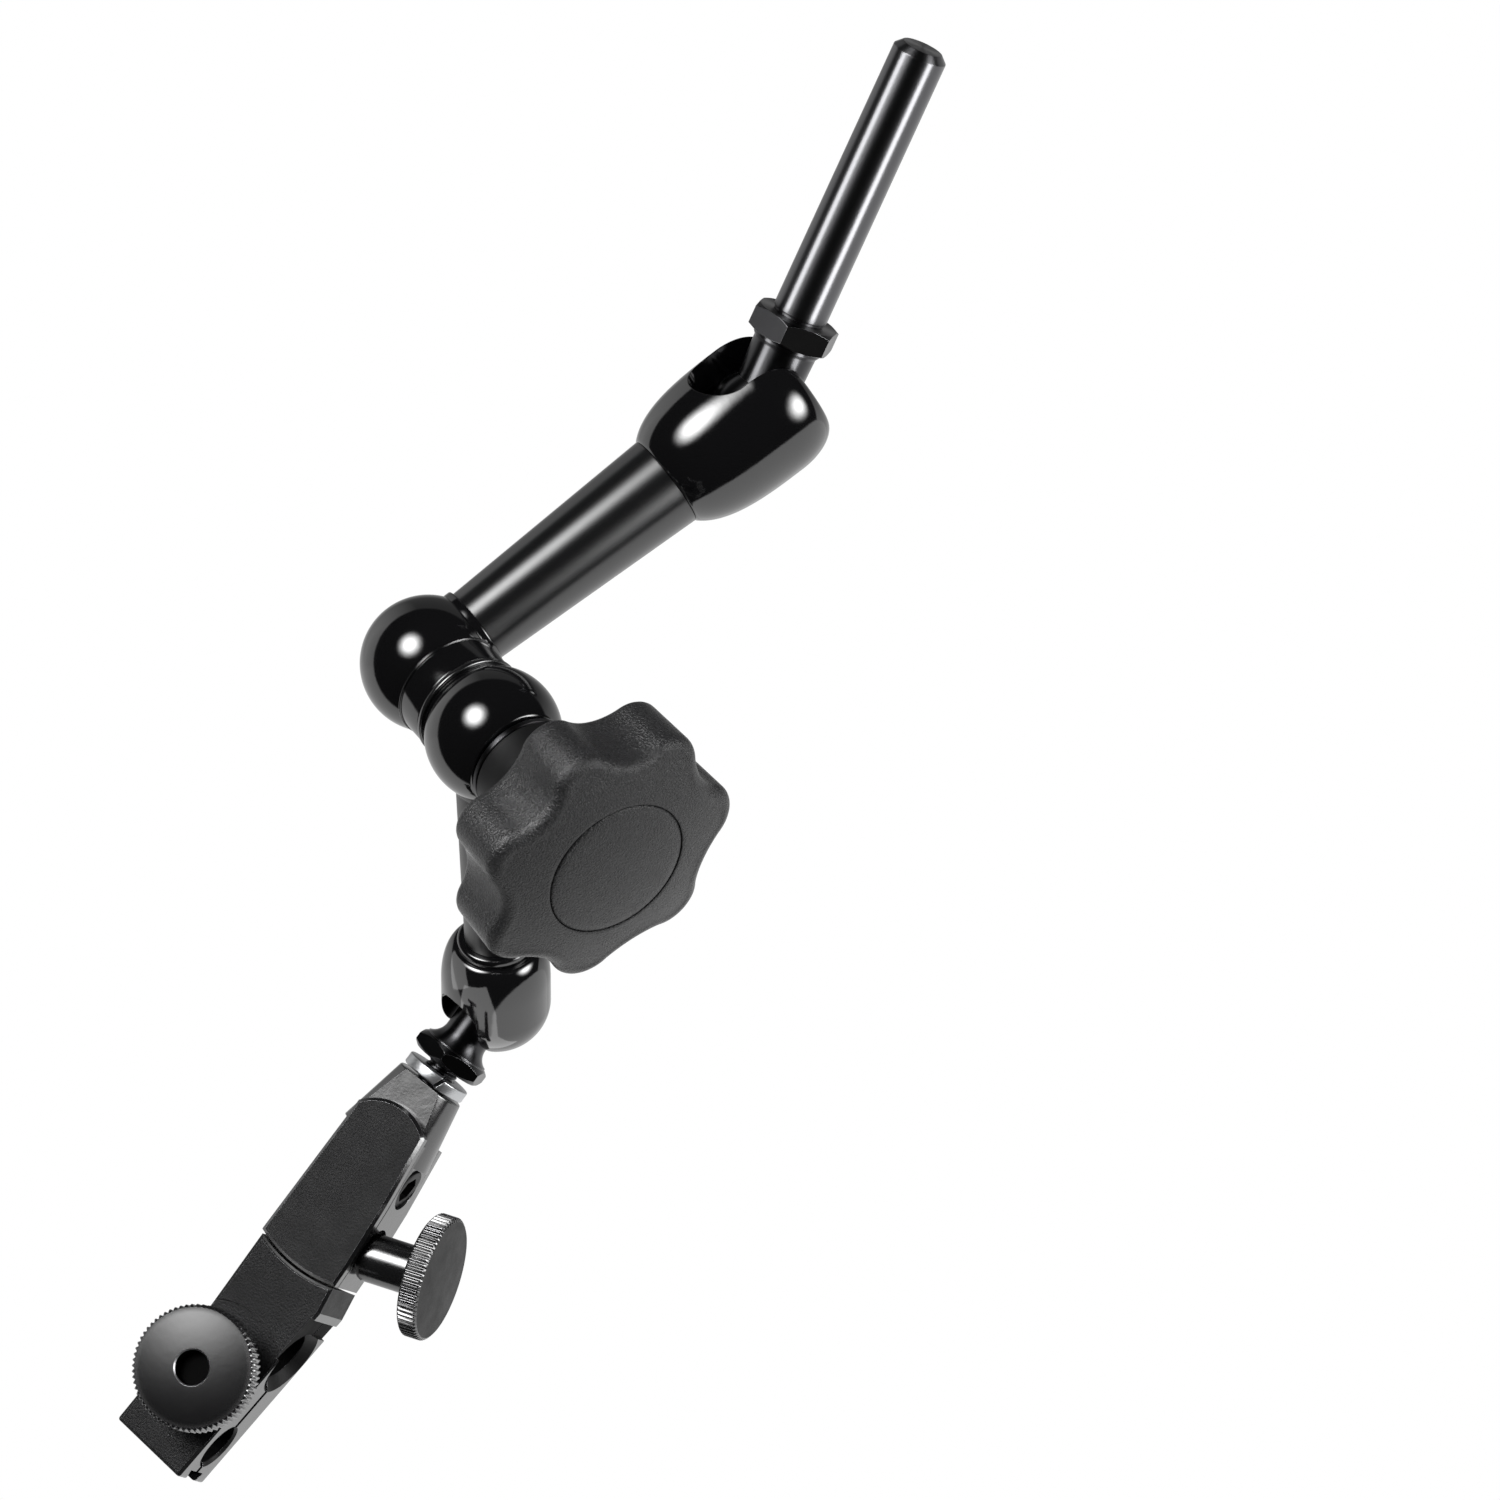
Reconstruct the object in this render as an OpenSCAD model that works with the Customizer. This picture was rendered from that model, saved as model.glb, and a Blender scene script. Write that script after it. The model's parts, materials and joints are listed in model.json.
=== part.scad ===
// Articulated indicator holder.
// A plain shank carries a ball stud that swings in a slotted head. Two hollow arms meet
// at a central elbow. One star knob squeezes the elbow and, through two wedges and two
// push rods, locks both balls. A clamp with a fine adjuster hangs from the second ball.
//
// The origin is on the shank's axis, in the shoulder plane of the hex collar.
// +Z runs out along the shank. The first slot lies in the XZ plane.

/* [Mounting shank] */
// Diameter of the plain mounting shank (three eighths of an inch)
shank_d = 9.525; // [8:0.005:10]
// Free length of the shank above its collar
shank_len = 51.1; // [30:0.1:80]
// Chamfer at the shank's free end
shank_chamfer = 1.2; // [0.4:0.1:2]

/* [Pose the joints are drawn in] */
// Angle between the shank and the upper arm's axis
shank_tilt = 34; // [0:1:90]
// Angle between the two arms at the elbow
elbow_open = 111; // [60:1:180]
// Angle between the lower arm and the small stud
stud_tilt = 50; // [0:1:90]
// Turn of the clamp about its stud
clamp_roll = -109; // [-180:1:180]
// Lean of the gauge clamp about its pivot at mid adjustment
lever_lean = 5; // [3:0.5:6]

/* [Upper ball head] */
// Diameter of the large ball
upper_ball_d = 15.8; // [15.4:0.1:16]
// Distance from the ball's centre to the collar's shoulder
upper_ball_drop = 18.4; // [18:0.1:20]
// Outside diameter of the large head
upper_head_d = 24.8; // [24:0.1:27]
// Width of the slot the neck swings in
upper_slot_w = 13.2; // [12.4:0.1:13.4]
// Distance from ball to elbow
upper_arm_len = 69.4; // [66:0.1:90]

/* [Elbow] */
// Diameter of the far knuckle
upper_knuckle_d = 23.1; // [23:0.1:25]
// Diameter of the near knuckle
lower_knuckle_d = 23.4; // [23.2:0.1:25]
// Distance between the knuckles along the tie bolt
knuckle_pitch = 20.6; // [20.5:0.1:22]
// Roll of the tie bolt about the upper arm
elbow_roll = 15.7; // [0:0.1:30]

/* [Star knob] */
// Diameter over the lobes
knob_d = 49.8; // [46:0.1:54]
// Number of lobes
knob_lobes = 7; // [6:1:8]
// Height of the knob's rim
knob_rim_h = 14; // [12:0.5:16]

/* [Lower ball head] */
// Diameter of the small ball
lower_ball_d = 12.4; // [12.2:0.1:12.6]
// Outside diameter of the small head
lower_head_d = 18.5; // [18:0.1:20]
// Width of the small slot
lower_slot_w = 9.6; // [9:0.1:10]
// Distance from elbow to small ball
lower_arm_len = 60.9; // [58:0.1:75]
// Roll of the small slot about the lower arm
lower_roll = -96.2; // [-180:0.1:180]

/* [Gauge clamp] */
// Large gauge bore (three eighths of an inch)
large_bore_d = 9.55; // [9.5:0.01:10]
// Small gauge bore
small_bore_d = 8.02; // [7:0.01:8.2]
// Diameter of the two knurled heads
thumb_head_d = 21; // [18:0.5:22]
// Diameter of the thumb screws' necks
thumb_neck_d = 8.5; // [7:0.1:9]

/* [Hidden] */
$fn = 64;

through = 60;            // long enough to cut right through any piece
nip = 0.02;              // gap left where a locked face touches a moving one
slack = 0.05;            // radial running clearance
wedge_slope = tan(30);   // rise of both wedges along the tie bolt

// --- shank and large ball stud
shank_r = shank_d / 2;
spigot_r = 2.45;
spigot_len = 9;
spigot_hole_depth = 10;
collar_h = 4.2;
collar_flats = 13.8;
collar_chamfer = 0.6;
upper_ball_r = upper_ball_d / 2;
neck_top_r = 5.85;
neck_low_r = 5.3;

// --- large head
upper_head_r = upper_head_d / 2;
upper_bore_r = upper_ball_r + slack;
head_tip_z = -9;
head_tip_r = 8.2;
head_widest_z = -1;
head_seam_z = 18.8;
upper_seat_low = 5.7;
upper_seat_high = 9;

// --- rods and tubes
rod_r = 3;
rod_hole_r = rod_r + slack;
tube_plug_low = 13.5;
upper_tube_head_r = 8.2;
upper_tube_elbow_r = 6.7;
boss_reach = 10.2;
boss_r = 7.4;
tenon_r = 5;
tenon_len = 1.6;
wedge_mid_r = 5.5;
rod_tip_off = (rod_r + nip + wedge_mid_r * cos(30)) / cos(30);

// --- elbow, measured along the tie bolt from the far knuckle's centre
upper_knuckle_r = upper_knuckle_d / 2;
lower_knuckle_r = lower_knuckle_d / 2;
cavity_r = 8;
middle_r = 9.65;
middle_end = 12.1;
ring_r = 9.9;
ring_low = middle_end + slack;
ring_h = 1;
lower_neck_r = 9.3;
lower_neck_low = ring_low + ring_h + slack;
bush_low = 5.6;
bush_spigot_r = 6.5;
bush_end = 17;
bolt_r = 4;
bolt_hole_r = bolt_r + 2 * slack;
bolt_head_r = 6;
bolt_head_low = -6.5;
wedge_thick_end = 3.6;
wedge_thin_end = 2.2;
bolt_end = 46;
knuckle_flat = 7.5;
wedge_sleeve_end = 8.1;
washer_low = knuckle_pitch + wedge_sleeve_end + slack;
washer_h = 1;
washer_r = 9.2;

// --- star knob, measured along the same line
hub_low = washer_low + washer_h + slack;
hub_r = 9.2;
dome_top = knuckle_pitch + 40;
dome_r = 77;
rim_top = dome_top - 3.6;
rim_low = rim_top - knob_rim_h;
cap_r = 13;
cap_groove = 0.35;
cap_floor = dome_top - 3.2;
insert_r = 7;
insert_end = 42;
knob_phase = -60;
lobe_r = 6.2;
knob_edge_round = 2.4;

// --- small head, measured from the small ball's centre
lower_ball_r = lower_ball_d / 2;
lower_bore_r = lower_ball_r + slack;
lower_head_r = lower_head_d / 2;
lower_head_back = -12.6;
lower_back_r = 6.7;
lower_straight = -5;
collar_back = -14.2;
socket_collar_r = 6.5;
lower_tube_head_r = 5.25;
lower_spigot_r = 4.85;
lower_tube_elbow_r = 6.5;
lower_seat_low = -7.5;
lower_seat_high = -4.3;
lower_plug_end = -8.8;

// --- small stud, measured from the small ball's centre along the stud
stud_neck_r = 4;
flange_low = 11.2;
flange_end = 14.3;
flange_flats = 12.4;
flange_round_r = 6.85;
thread_r = 2.95;
thread_end = 24.6;
lock_washer_mid = 16.9;
lock_washer_h = 1.9;
lock_washer_r = 5.9;
lock_washer_gap = 1.3;

// --- fine adjuster, X across, Y out of its face, Z away from the ball
body_top = 18.4;
body_cone_r = 6.15;
body_cone_end = 31;
body_cone_end_r = 8.6;
body_left = -6.5;
body_back = -6.5;
body_front = 5;
cover_front = 7.3;
cover_centre = [1, 33];
cover_round_r = 9.4;
seam_centre = [1.75, 31];
seam_r = 25;
seam_gap = 0.4;
pivot_at = [1.75, 43];
pivot_r = 1.5;
mid_y = (body_back + cover_front) / 2;
tongue_w = 4.8;
tongue_slot_w = 5;
side_hole_z = 34.9;
side_hole_r = 3.75;
fine_lean = 20;
fine_at = [9.5, 47.8];
fine_thread_r = 2.45;
fine_pocket_depth = 8.2;
thumb_r = thumb_head_d / 2;
thumb_neck_r = thumb_neck_d / 2;
fine_face = 13.9;
fine_head_h = 4;
knurl_teeth = 44;
knurl_depth = 0.35;

// --- gauge clamp, measured from its pivot along its own leaning axis
clamp_end = 52.6;
clamp_left = -3.9;
clamp_right = 10.9;
large_bore_at = 26.2;
small_bore_at = 45;
slit_w = 1.2;
screw_at = [3, 36];
screw_spot_r = 12.6;
screw_spot_y = cover_front - 0.3;
clamp_lift = 11.5;
clamp_head_h = 4.7;
jaw_thread_r = 2.5;
dovetail_mouth = 5;
dovetail_floor = 7;
dovetail_depth = 1.9;

// Points along an arc of an ellipse, from angle a0 to angle a1
function arc(c, rx, ry, a0, a1, n = 12) =
    [for (i = [0:n]) let (a = a0 + (a1 - a0) * i / n) [c[0] + rx * cos(a), c[1] + ry * sin(a)]];

// --- frames, each moving its children into the row's frame

// Z runs from the large ball down the upper arm
module upper_arm_frame() {
    translate([0, 0, -upper_ball_drop]) rotate([0, 180 + shank_tilt, 0]) children();
}

// Z runs along the tie bolt from the far knuckle's centre to the knob
module elbow_frame() {
    upper_arm_frame() translate([0, 0, upper_arm_len]) rotate([0, 0, -elbow_roll])
        rotate([90, 0, 0]) children();
}

// Z runs from the near knuckle's centre down the lower arm
module lower_arm_frame() {
    elbow_frame() translate([0, 0, knuckle_pitch]) rotate([0, 0, 270 - elbow_open])
        rotate([0, 90, 0]) rotate([0, 0, lower_roll]) children();
}

// Z runs from the small ball along its stud
module stud_frame() {
    lower_arm_frame() translate([0, 0, lower_arm_len]) rotate([0, stud_tilt, 0]) children();
}

// X across the clamp, Y out of its face, Z along the stud
module clamp_frame() {
    stud_frame() rotate([0, 0, clamp_roll]) children();
}

// Z out along the fine adjusting screw
module fine_frame() {
    clamp_frame() translate([fine_at[0], mid_y, fine_at[1]]) rotate([0, 90 + fine_lean, 0])
        children();
}

// Origin on the pivot pin, Z along the leaning gauge clamp
module lever_frame() {
    clamp_frame() translate([pivot_at[0], 0, pivot_at[1]]) rotate([0, -lever_lean, 0])
        children();
}

// Z out along the clamp screw, from its spot face on the block
module clamp_screw_frame() {
    lever_frame() translate([screw_at[0], screw_spot_y, screw_at[1]]) rotate([-90, 0, 0])
        children();
}

// --- shapes that repeat

// Ring or tube between two heights
module tube_of(r_out, r_in, low, high) {
    difference() {
        translate([0, 0, low]) cylinder(h = high - low, r = r_out);
        translate([0, 0, low - 1]) cylinder(h = high - low + 2, r = r_in);
    }
}

// Rod between two heights
module rod_of(r, low, high) {
    translate([0, 0, low]) cylinder(h = high - low, r = r);
}

// Flat plate drawn in X and Z and given thickness along Y
module slab(back, front) {
    translate([0, front, 0]) rotate([90, 0, 0]) linear_extrude(front - back) children();
}

// Hexagon with both ends chamfered
module hex_collar(flats, low, high, chamfer) {
    corner_r = flats / sqrt(3);
    intersection() {
        translate([0, 0, low]) cylinder(h = high - low, r = corner_r, $fn = 6);
        rotate_extrude()
            polygon([[0, low], [corner_r - chamfer, low], [corner_r, low + chamfer / 2],
                [corner_r, high - chamfer / 2], [corner_r - chamfer, high], [0, high]]);
    }
}

// The room a neck of the given width needs to swing from the head's tip (-Z) to its side (+X)
module swing_slot(width, reach) {
    translate([0, -width / 2, -reach]) cube([reach, width, reach]);
    translate([0, 0, -reach]) cylinder(h = reach, r = width / 2);
    rotate([0, 90, 0]) cylinder(h = reach, r = width / 2);
}

// Cone on the tie bolt that drives a push rod: thin at low, thick at high
module wedge_cone(flip) {
    scale_z = flip ? -1 : 1;
    rotate_extrude()
        polygon([[bolt_hole_r, -wedge_thin_end * scale_z],
            [wedge_mid_r - wedge_thin_end * wedge_slope, -wedge_thin_end * scale_z],
            [wedge_mid_r + wedge_thick_end * wedge_slope, wedge_thick_end * scale_z],
            [bolt_hole_r, wedge_thick_end * scale_z]]);
}

// Rod with a domed end at z = tip
module domed_rod(low, tip) {
    rod_of(rod_r, low, tip - rod_r);
    translate([0, 0, tip - rod_r]) sphere(r = rod_r);
}

// Knurled thumb head between two heights
module thumb_head(low, high) {
    difference() {
        rotate_extrude()
            polygon([[0, low], [thumb_r - 0.6, low], [thumb_r, low + 0.5],
                [thumb_r, high - 0.5], [thumb_r - 0.6, high], [0, high]]);
        for (i = [0:knurl_teeth - 1])
            rotate([0, 0, i * 360 / knurl_teeth]) translate([thumb_r, 0, low - 1])
                rotate([0, 0, 45])
                    translate([-knurl_depth, -knurl_depth, 0])
                        cube([2 * knurl_depth, 2 * knurl_depth, high - low + 2]);
    }
}

// --- shank and large ball stud

module mounting_shank() {
    color("#1c1c1e") difference() {
        rotate_extrude()
            polygon([[0, 0], [shank_r, 0], [shank_r, shank_len - shank_chamfer],
                [shank_r - shank_chamfer, shank_len], [0, shank_len]]);
        rod_of(spigot_r + slack, -1, spigot_hole_depth);
    }
}

module upper_ball_stud() {
    color("#151517") {
        rod_of(spigot_r, -1, spigot_len);
        hex_collar(collar_flats, -collar_h - slack, -slack, collar_chamfer);
        translate([0, 0, -upper_ball_drop])
            cylinder(h = upper_ball_drop - collar_h, r1 = neck_low_r, r2 = neck_top_r);
        translate([0, 0, -upper_ball_drop]) sphere(r = upper_ball_r);
    }
}

// --- upper arm

module upper_socket() {
    flank_r = 163;
    shoulder_z = 8.9;
    shoulder_r = 17.4;
    flank_end = asin((shoulder_z - head_widest_z) / flank_r);
    shoulder_x = upper_head_r - flank_r + (flank_r - shoulder_r) * cos(flank_end);
    shoulder_y = shoulder_z - shoulder_r * sin(flank_end);
    seam_end = asin((head_seam_z - shoulder_y) / shoulder_r);
    color("#131315") upper_arm_frame() difference() {
        rotate_extrude()
            polygon(concat([[0, head_tip_z]],
                arc([head_tip_r, head_widest_z], upper_head_r - head_tip_r,
                    head_widest_z - head_tip_z, -90, 0),
                arc([shoulder_x, shoulder_y], shoulder_r, shoulder_r, flank_end, seam_end),
                [[0, head_seam_z]]));
        sphere(r = upper_bore_r);
        rod_of(upper_bore_r, 0, head_seam_z + 1);
        swing_slot(upper_slot_w, through / 2);
    }
}

module upper_ball_seat() {
    color("#b08d4f") upper_arm_frame() difference() {
        rod_of(upper_bore_r - slack, upper_seat_low, upper_seat_high);
        sphere(r = upper_ball_r + nip);
    }
}

module upper_push_rod() {
    color("#9a9da1") upper_arm_frame()
        domed_rod(upper_seat_high, upper_arm_len - rod_tip_off + rod_r);
}

module upper_tube() {
    shoulder = upper_arm_len - boss_reach;
    color("#1f1f22") upper_arm_frame() difference() {
        union() {
            rod_of(upper_bore_r - slack, tube_plug_low, head_seam_z + 1);
            translate([0, 0, head_seam_z])
                cylinder(h = shoulder - head_seam_z, r1 = upper_tube_head_r,
                    r2 = upper_tube_elbow_r);
            rod_of(tenon_r, shoulder - 1, shoulder + tenon_len);
        }
        rod_of(rod_hole_r, 0, upper_arm_len);
    }
}

module upper_knuckle() {
    color("#131315") difference() {
        union() {
            elbow_frame() sphere(r = upper_knuckle_r);
            elbow_frame() rod_of(middle_r, 0, middle_end);
            upper_arm_frame() rod_of(boss_r, upper_arm_len - boss_reach, upper_arm_len);
        }
        elbow_frame() rod_of(cavity_r, -4.3, middle_end + 1);
        elbow_frame() rod_of(bolt_head_r + 0.5, -7.2, 0);
        upper_arm_frame() rod_of(rod_hole_r, upper_arm_len - 2 * boss_reach, upper_arm_len);
        upper_arm_frame() {
            rod_of(tenon_r, upper_arm_len - boss_reach - 1, upper_arm_len - boss_reach + tenon_len);
            rod_of(boss_r + 1, upper_arm_len - upper_knuckle_r - 1, upper_arm_len - boss_reach);
        }
    }
}

// --- elbow

module elbow_bush() {
    color("#b08d4f") elbow_frame() difference() {
        union() {
            rod_of(cavity_r - slack, bush_low, middle_end);
            rod_of(bush_spigot_r, middle_end - 1, bush_end);
        }
        rod_of(bolt_hole_r, 0, bush_end + 1);
    }
}

// Two disc springs, nested cone to cone, that push the wedges apart
module release_springs() {
    rim_r = 7.4;
    eye_r = 4.5;
    leaf = 0.5;
    dish = 0.9;
    base = wedge_thin_end + 0.3;
    color("#8d9095") elbow_frame() {
        rotate_extrude()
            polygon([[eye_r, base], [eye_r, base + leaf], [rim_r, base + dish + leaf],
                [rim_r, base + dish]]);
        translate([0, 0, 2 * base + 2 * (dish + leaf) + 0.04]) mirror([0, 0, 1])
            rotate_extrude()
                polygon([[eye_r, base], [eye_r, base + leaf], [rim_r, base + dish + leaf],
                    [rim_r, base + dish]]);
    }
}

module tie_bolt() {
    socket_flats = 5;
    color("#8d9095") elbow_frame() difference() {
        union() {
            rod_of(bolt_head_r, bolt_head_low, -wedge_thick_end);
            rod_of(bolt_r, -wedge_thick_end - 1, bolt_end);
        }
        translate([0, 0, bolt_head_low - 1])
            cylinder(h = 3, r = socket_flats / sqrt(3), $fn = 6);
    }
}

module upper_wedge() {
    color("#a7abb0") elbow_frame() wedge_cone(true);
}

module bolt_stop_ring() {
    ring_out = 6.2;
    ring_base = 44;
    ring_thick = 1.2;
    color("#a7abb0") elbow_frame()
        tube_of(ring_out, bolt_r, ring_base, ring_base + ring_thick);
}

module friction_ring() {
    color("#3a3b3e") elbow_frame()
        tube_of(ring_r, bush_spigot_r + slack, ring_low, ring_low + ring_h);
}

// --- lower arm

module lower_knuckle() {
    color("#131315") difference() {
        union() {
            elbow_frame() intersection() {
                translate([0, 0, knuckle_pitch]) sphere(r = lower_knuckle_r);
                rod_of(through, 0, knuckle_pitch + knuckle_flat);
            }
            elbow_frame() rod_of(lower_neck_r, lower_neck_low, knuckle_pitch);
            lower_arm_frame() rod_of(boss_r, 0, boss_reach);
        }
        elbow_frame() rod_of(bush_spigot_r + slack, lower_neck_low - 1, bush_end + 0.2);
        elbow_frame() rod_of(bolt_hole_r, 0, through);
        elbow_frame() rod_of(cavity_r, knuckle_pitch - wedge_thin_end - 0.5, through);
        elbow_frame() rod_of(lower_knuckle_r, lower_neck_low - 5, lower_neck_low);
        lower_arm_frame() rod_of(rod_hole_r, 0, 2 * boss_reach);
        lower_arm_frame() {
            rod_of(tenon_r, boss_reach - tenon_len, boss_reach + 1);
            rod_of(boss_r + 1, boss_reach, lower_knuckle_r + 1);
        }
    }
}

module lower_wedge() {
    color("#a7abb0") elbow_frame() {
        translate([0, 0, knuckle_pitch]) wedge_cone(false);
        tube_of(cavity_r - 2 * slack, bolt_hole_r, knuckle_pitch + wedge_thick_end,
            knuckle_pitch + wedge_sleeve_end);
    }
}

module thrust_washer() {
    color("#8d9095") elbow_frame()
        tube_of(washer_r, bolt_hole_r, washer_low, washer_low + washer_h);
}

module lower_tube() {
    shoulder = boss_reach;
    head_end = lower_arm_len + collar_back;
    color("#151517") lower_arm_frame() difference() {
        union() {
            rod_of(tenon_r, shoulder - tenon_len, shoulder + 1);
            translate([0, 0, shoulder])
                cylinder(h = head_end - shoulder, r1 = lower_tube_elbow_r, r2 = lower_tube_head_r);
            rod_of(lower_spigot_r, head_end - 1, lower_arm_len + lower_plug_end);
        }
        rod_of(rod_hole_r, 0, lower_arm_len);
    }
}

module lower_push_rod() {
    color("#9a9da1") lower_arm_frame() {
        rod_of(rod_r, rod_tip_off, lower_arm_len + lower_seat_low);
        translate([0, 0, rod_tip_off]) sphere(r = rod_r);
    }
}

module lower_ball_seat() {
    color("#b08d4f") lower_arm_frame() translate([0, 0, lower_arm_len]) difference() {
        rod_of(lower_bore_r - slack, lower_seat_low, lower_seat_high);
        sphere(r = lower_ball_r + nip);
    }
}

module lower_socket() {
    back_len = lower_straight - lower_head_back;
    color("#131315") lower_arm_frame() translate([0, 0, lower_arm_len]) difference() {
        rotate_extrude()
            polygon(concat([[0, lower_head_back]],
                arc([lower_back_r, lower_straight], lower_head_r - lower_back_r, back_len,
                    -90, 0),
                arc([0, 0], lower_head_r, lower_head_r, 0, 90, 16)));
        sphere(r = lower_bore_r);
        rod_of(lower_bore_r, lower_head_back - 1, 0);
        mirror([0, 0, 1]) swing_slot(lower_slot_w, through / 2);
    }
}

// Flanged plug that closes the small head behind its ball
module socket_collar() {
    color("#1c1c1e") lower_arm_frame() translate([0, 0, lower_arm_len]) difference() {
        union() {
            rod_of(socket_collar_r, collar_back, lower_head_back);
            rod_of(lower_bore_r - slack, lower_head_back - 1, lower_plug_end);
        }
        rod_of(lower_spigot_r + slack, -through, 0);
    }
}

// --- star knob

// Outline of the star: round lobes and the hollows between them
module star_outline() {
    step = 360 / knob_lobes;
    lobe_at = knob_d / 2 - lobe_r;
    hollow_at = 31;
    gap = sqrt(pow(lobe_at, 2) + pow(hollow_at, 2) - 2 * lobe_at * hollow_at * cos(step / 2));
    hollow_r = gap - lobe_r;
    difference() {
        union() {
            circle(r = lobe_at + 1.2);
            for (i = [0:knob_lobes - 1])
                rotate([0, 0, i * step]) {
                    translate([lobe_at, 0]) circle(r = lobe_r);
                    polygon([[0, -lobe_r * 1.9], [lobe_at, -lobe_r * 0.98],
                        [lobe_at, lobe_r * 0.98], [0, lobe_r * 1.9]]);
                }
        }
        for (i = [0:knob_lobes - 1])
            rotate([0, 0, (i + 0.5) * step]) translate([hollow_at, 0]) circle(r = hollow_r);
    }
}

module star_knob() {
    outer = knob_d / 2;
    face_edge = outer - knob_edge_round;
    dome_angle = asin(face_edge / dome_r);
    edge_top = dome_top - dome_r + dome_r * cos(dome_angle);
    color("#2b2b2d") elbow_frame() rotate([0, 0, knob_phase]) difference() {
        union() {
            rod_of(hub_r, hub_low, rim_low + 4);
            intersection() {
                translate([0, 0, rim_low]) linear_extrude(dome_top - rim_low) star_outline();
                rotate_extrude()
                    polygon(concat([[0, rim_low + 2]], [[hub_r, rim_low + 2]],
                        arc([face_edge, rim_low + knob_edge_round], knob_edge_round,
                            knob_edge_round, -90, 0, 6),
                        arc([face_edge, edge_top - knob_edge_round], knob_edge_round,
                            knob_edge_round, 0, 80, 6),
                        arc([0, dome_top - dome_r], dome_r, dome_r, 90 - dome_angle, 90, 8)));
            }
        }
        rod_of(insert_r, hub_low - 1, insert_end);
        rod_of(insert_r + 0.5, insert_end - 0.1, cap_floor + 0.1);
        rod_of(cap_r, cap_floor, dome_top + 1);
    }
}

module knob_insert() {
    color("#b08d4f") elbow_frame() tube_of(insert_r, bolt_r + slack, hub_low, insert_end);
}

module knob_cap() {
    cap_edge = cap_r - cap_groove;
    cap_angle = asin(cap_edge / dome_r);
    color("#2b2b2d") elbow_frame() rotate_extrude()
        polygon(concat([[0, cap_floor]], [[cap_edge, cap_floor]],
            arc([0, dome_top - dome_r], dome_r, dome_r, 90 - cap_angle, 90, 6)));
}

// --- small ball stud

module lower_ball_stud() {
    fillet_r = flange_round_r - stud_neck_r;
    color("#131315") stud_frame() {
        sphere(r = lower_ball_r);
        rod_of(stud_neck_r, 0, flange_end - 1);
        difference() {
            rod_of(flange_round_r - 0.6, flange_low - fillet_r, flange_low);
            translate([0, 0, flange_low - fillet_r]) rotate_extrude()
                translate([stud_neck_r + fillet_r, 0]) circle(r = fillet_r);
        }
        hex_collar(flange_flats, flange_low, flange_end, 0.7);
        rod_of(thread_r, flange_end - 1, thread_end);
    }
}

// Split spring washer, its gap towards the front of the clamp
module lock_washer() {
    color("#c4c6c8") clamp_frame() difference() {
        tube_of(lock_washer_r, thread_r + 2 * slack, lock_washer_mid - lock_washer_h / 2,
            lock_washer_mid + lock_washer_h / 2);
        translate([0, 0, lock_washer_mid]) rotate([0, 25, 0])
            translate([-lock_washer_gap / 2, 0, -5]) cube([lock_washer_gap, 10, 10]);
    }
}

// --- fine adjuster

// Front outline of the adjuster below its cone
module adjuster_outline() {
    intersection() {
        polygon([[body_left, 27], [7, 27], [8.6, 39], [9.6, 50], [9.95, 58], [body_left, 58]]);
        translate(seam_centre) circle(r = seam_r, $fn = 180);
    }
}

module adjuster_body() {
    slot_left = -3.4;
    slot_right = 5.2;
    slot_top = 30.6;
    spot_r = 5;
    color("#1b1b1d") union() {
        clamp_frame() difference() {
            union() {
                intersection() {
                    translate([0, 0, body_top])
                        cylinder(h = body_cone_end - body_top, r1 = body_cone_r,
                            r2 = body_cone_end_r);
                    translate([-through / 2, body_back, 0])
                        cube([through, body_front - body_back, through]);
                }
                slab(body_back, body_front) adjuster_outline();
            }
            rod_of(thread_r + slack, body_top - 1, thread_end + 1.5);
            translate([slot_left, mid_y - tongue_slot_w / 2, slot_top])
                cube([slot_right - slot_left, tongue_slot_w, through]);
            translate([pivot_at[0], -through / 2, pivot_at[1]]) rotate([-90, 0, 0])
                cylinder(h = through, r = pivot_r);
            translate([slot_right - 1, mid_y, side_hole_z]) rotate([0, 90, 0])
                cylinder(h = through, r = side_hole_r);
            translate([fine_at[0], mid_y, fine_at[1]]) rotate([0, 90 + fine_lean, 0]) {
                rod_of(spot_r, -1, through);
                rod_of(fine_thread_r + slack, -6.5, 0);
            }
            for (z = [33, 52])
                translate([-5, body_front - 2, z]) rotate([-90, 0, 0]) cylinder(h = 3, r = 0.8);
        }
    }
}

// Raised front cover, located by two pegs
module adjuster_cover() {
    color("#2e2f31") clamp_frame() {
        slab(body_front, cover_front) intersection() {
            polygon([[body_left, 20], [6.2, 20], [8.6, 39], [9.6, 50], [9.95, 58],
                [body_left, 58]]);
            translate(seam_centre) circle(r = seam_r, $fn = 180);
            union() {
                translate(cover_centre) circle(r = cover_round_r);
                translate([body_left - 1, cover_centre[1]]) square([20, 30]);
            }
        }
        for (z = [33, 52])
            translate([-5, body_front - 1.8, z]) rotate([-90, 0, 0]) cylinder(h = 2, r = 0.78);
    }
}

module pivot_pin() {
    color("#9a9da1") clamp_frame() translate([pivot_at[0], body_back + 0.2, pivot_at[1]])
        rotate([-90, 0, 0]) cylinder(h = body_front - body_back - 0.3, r = pivot_r);
}

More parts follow.
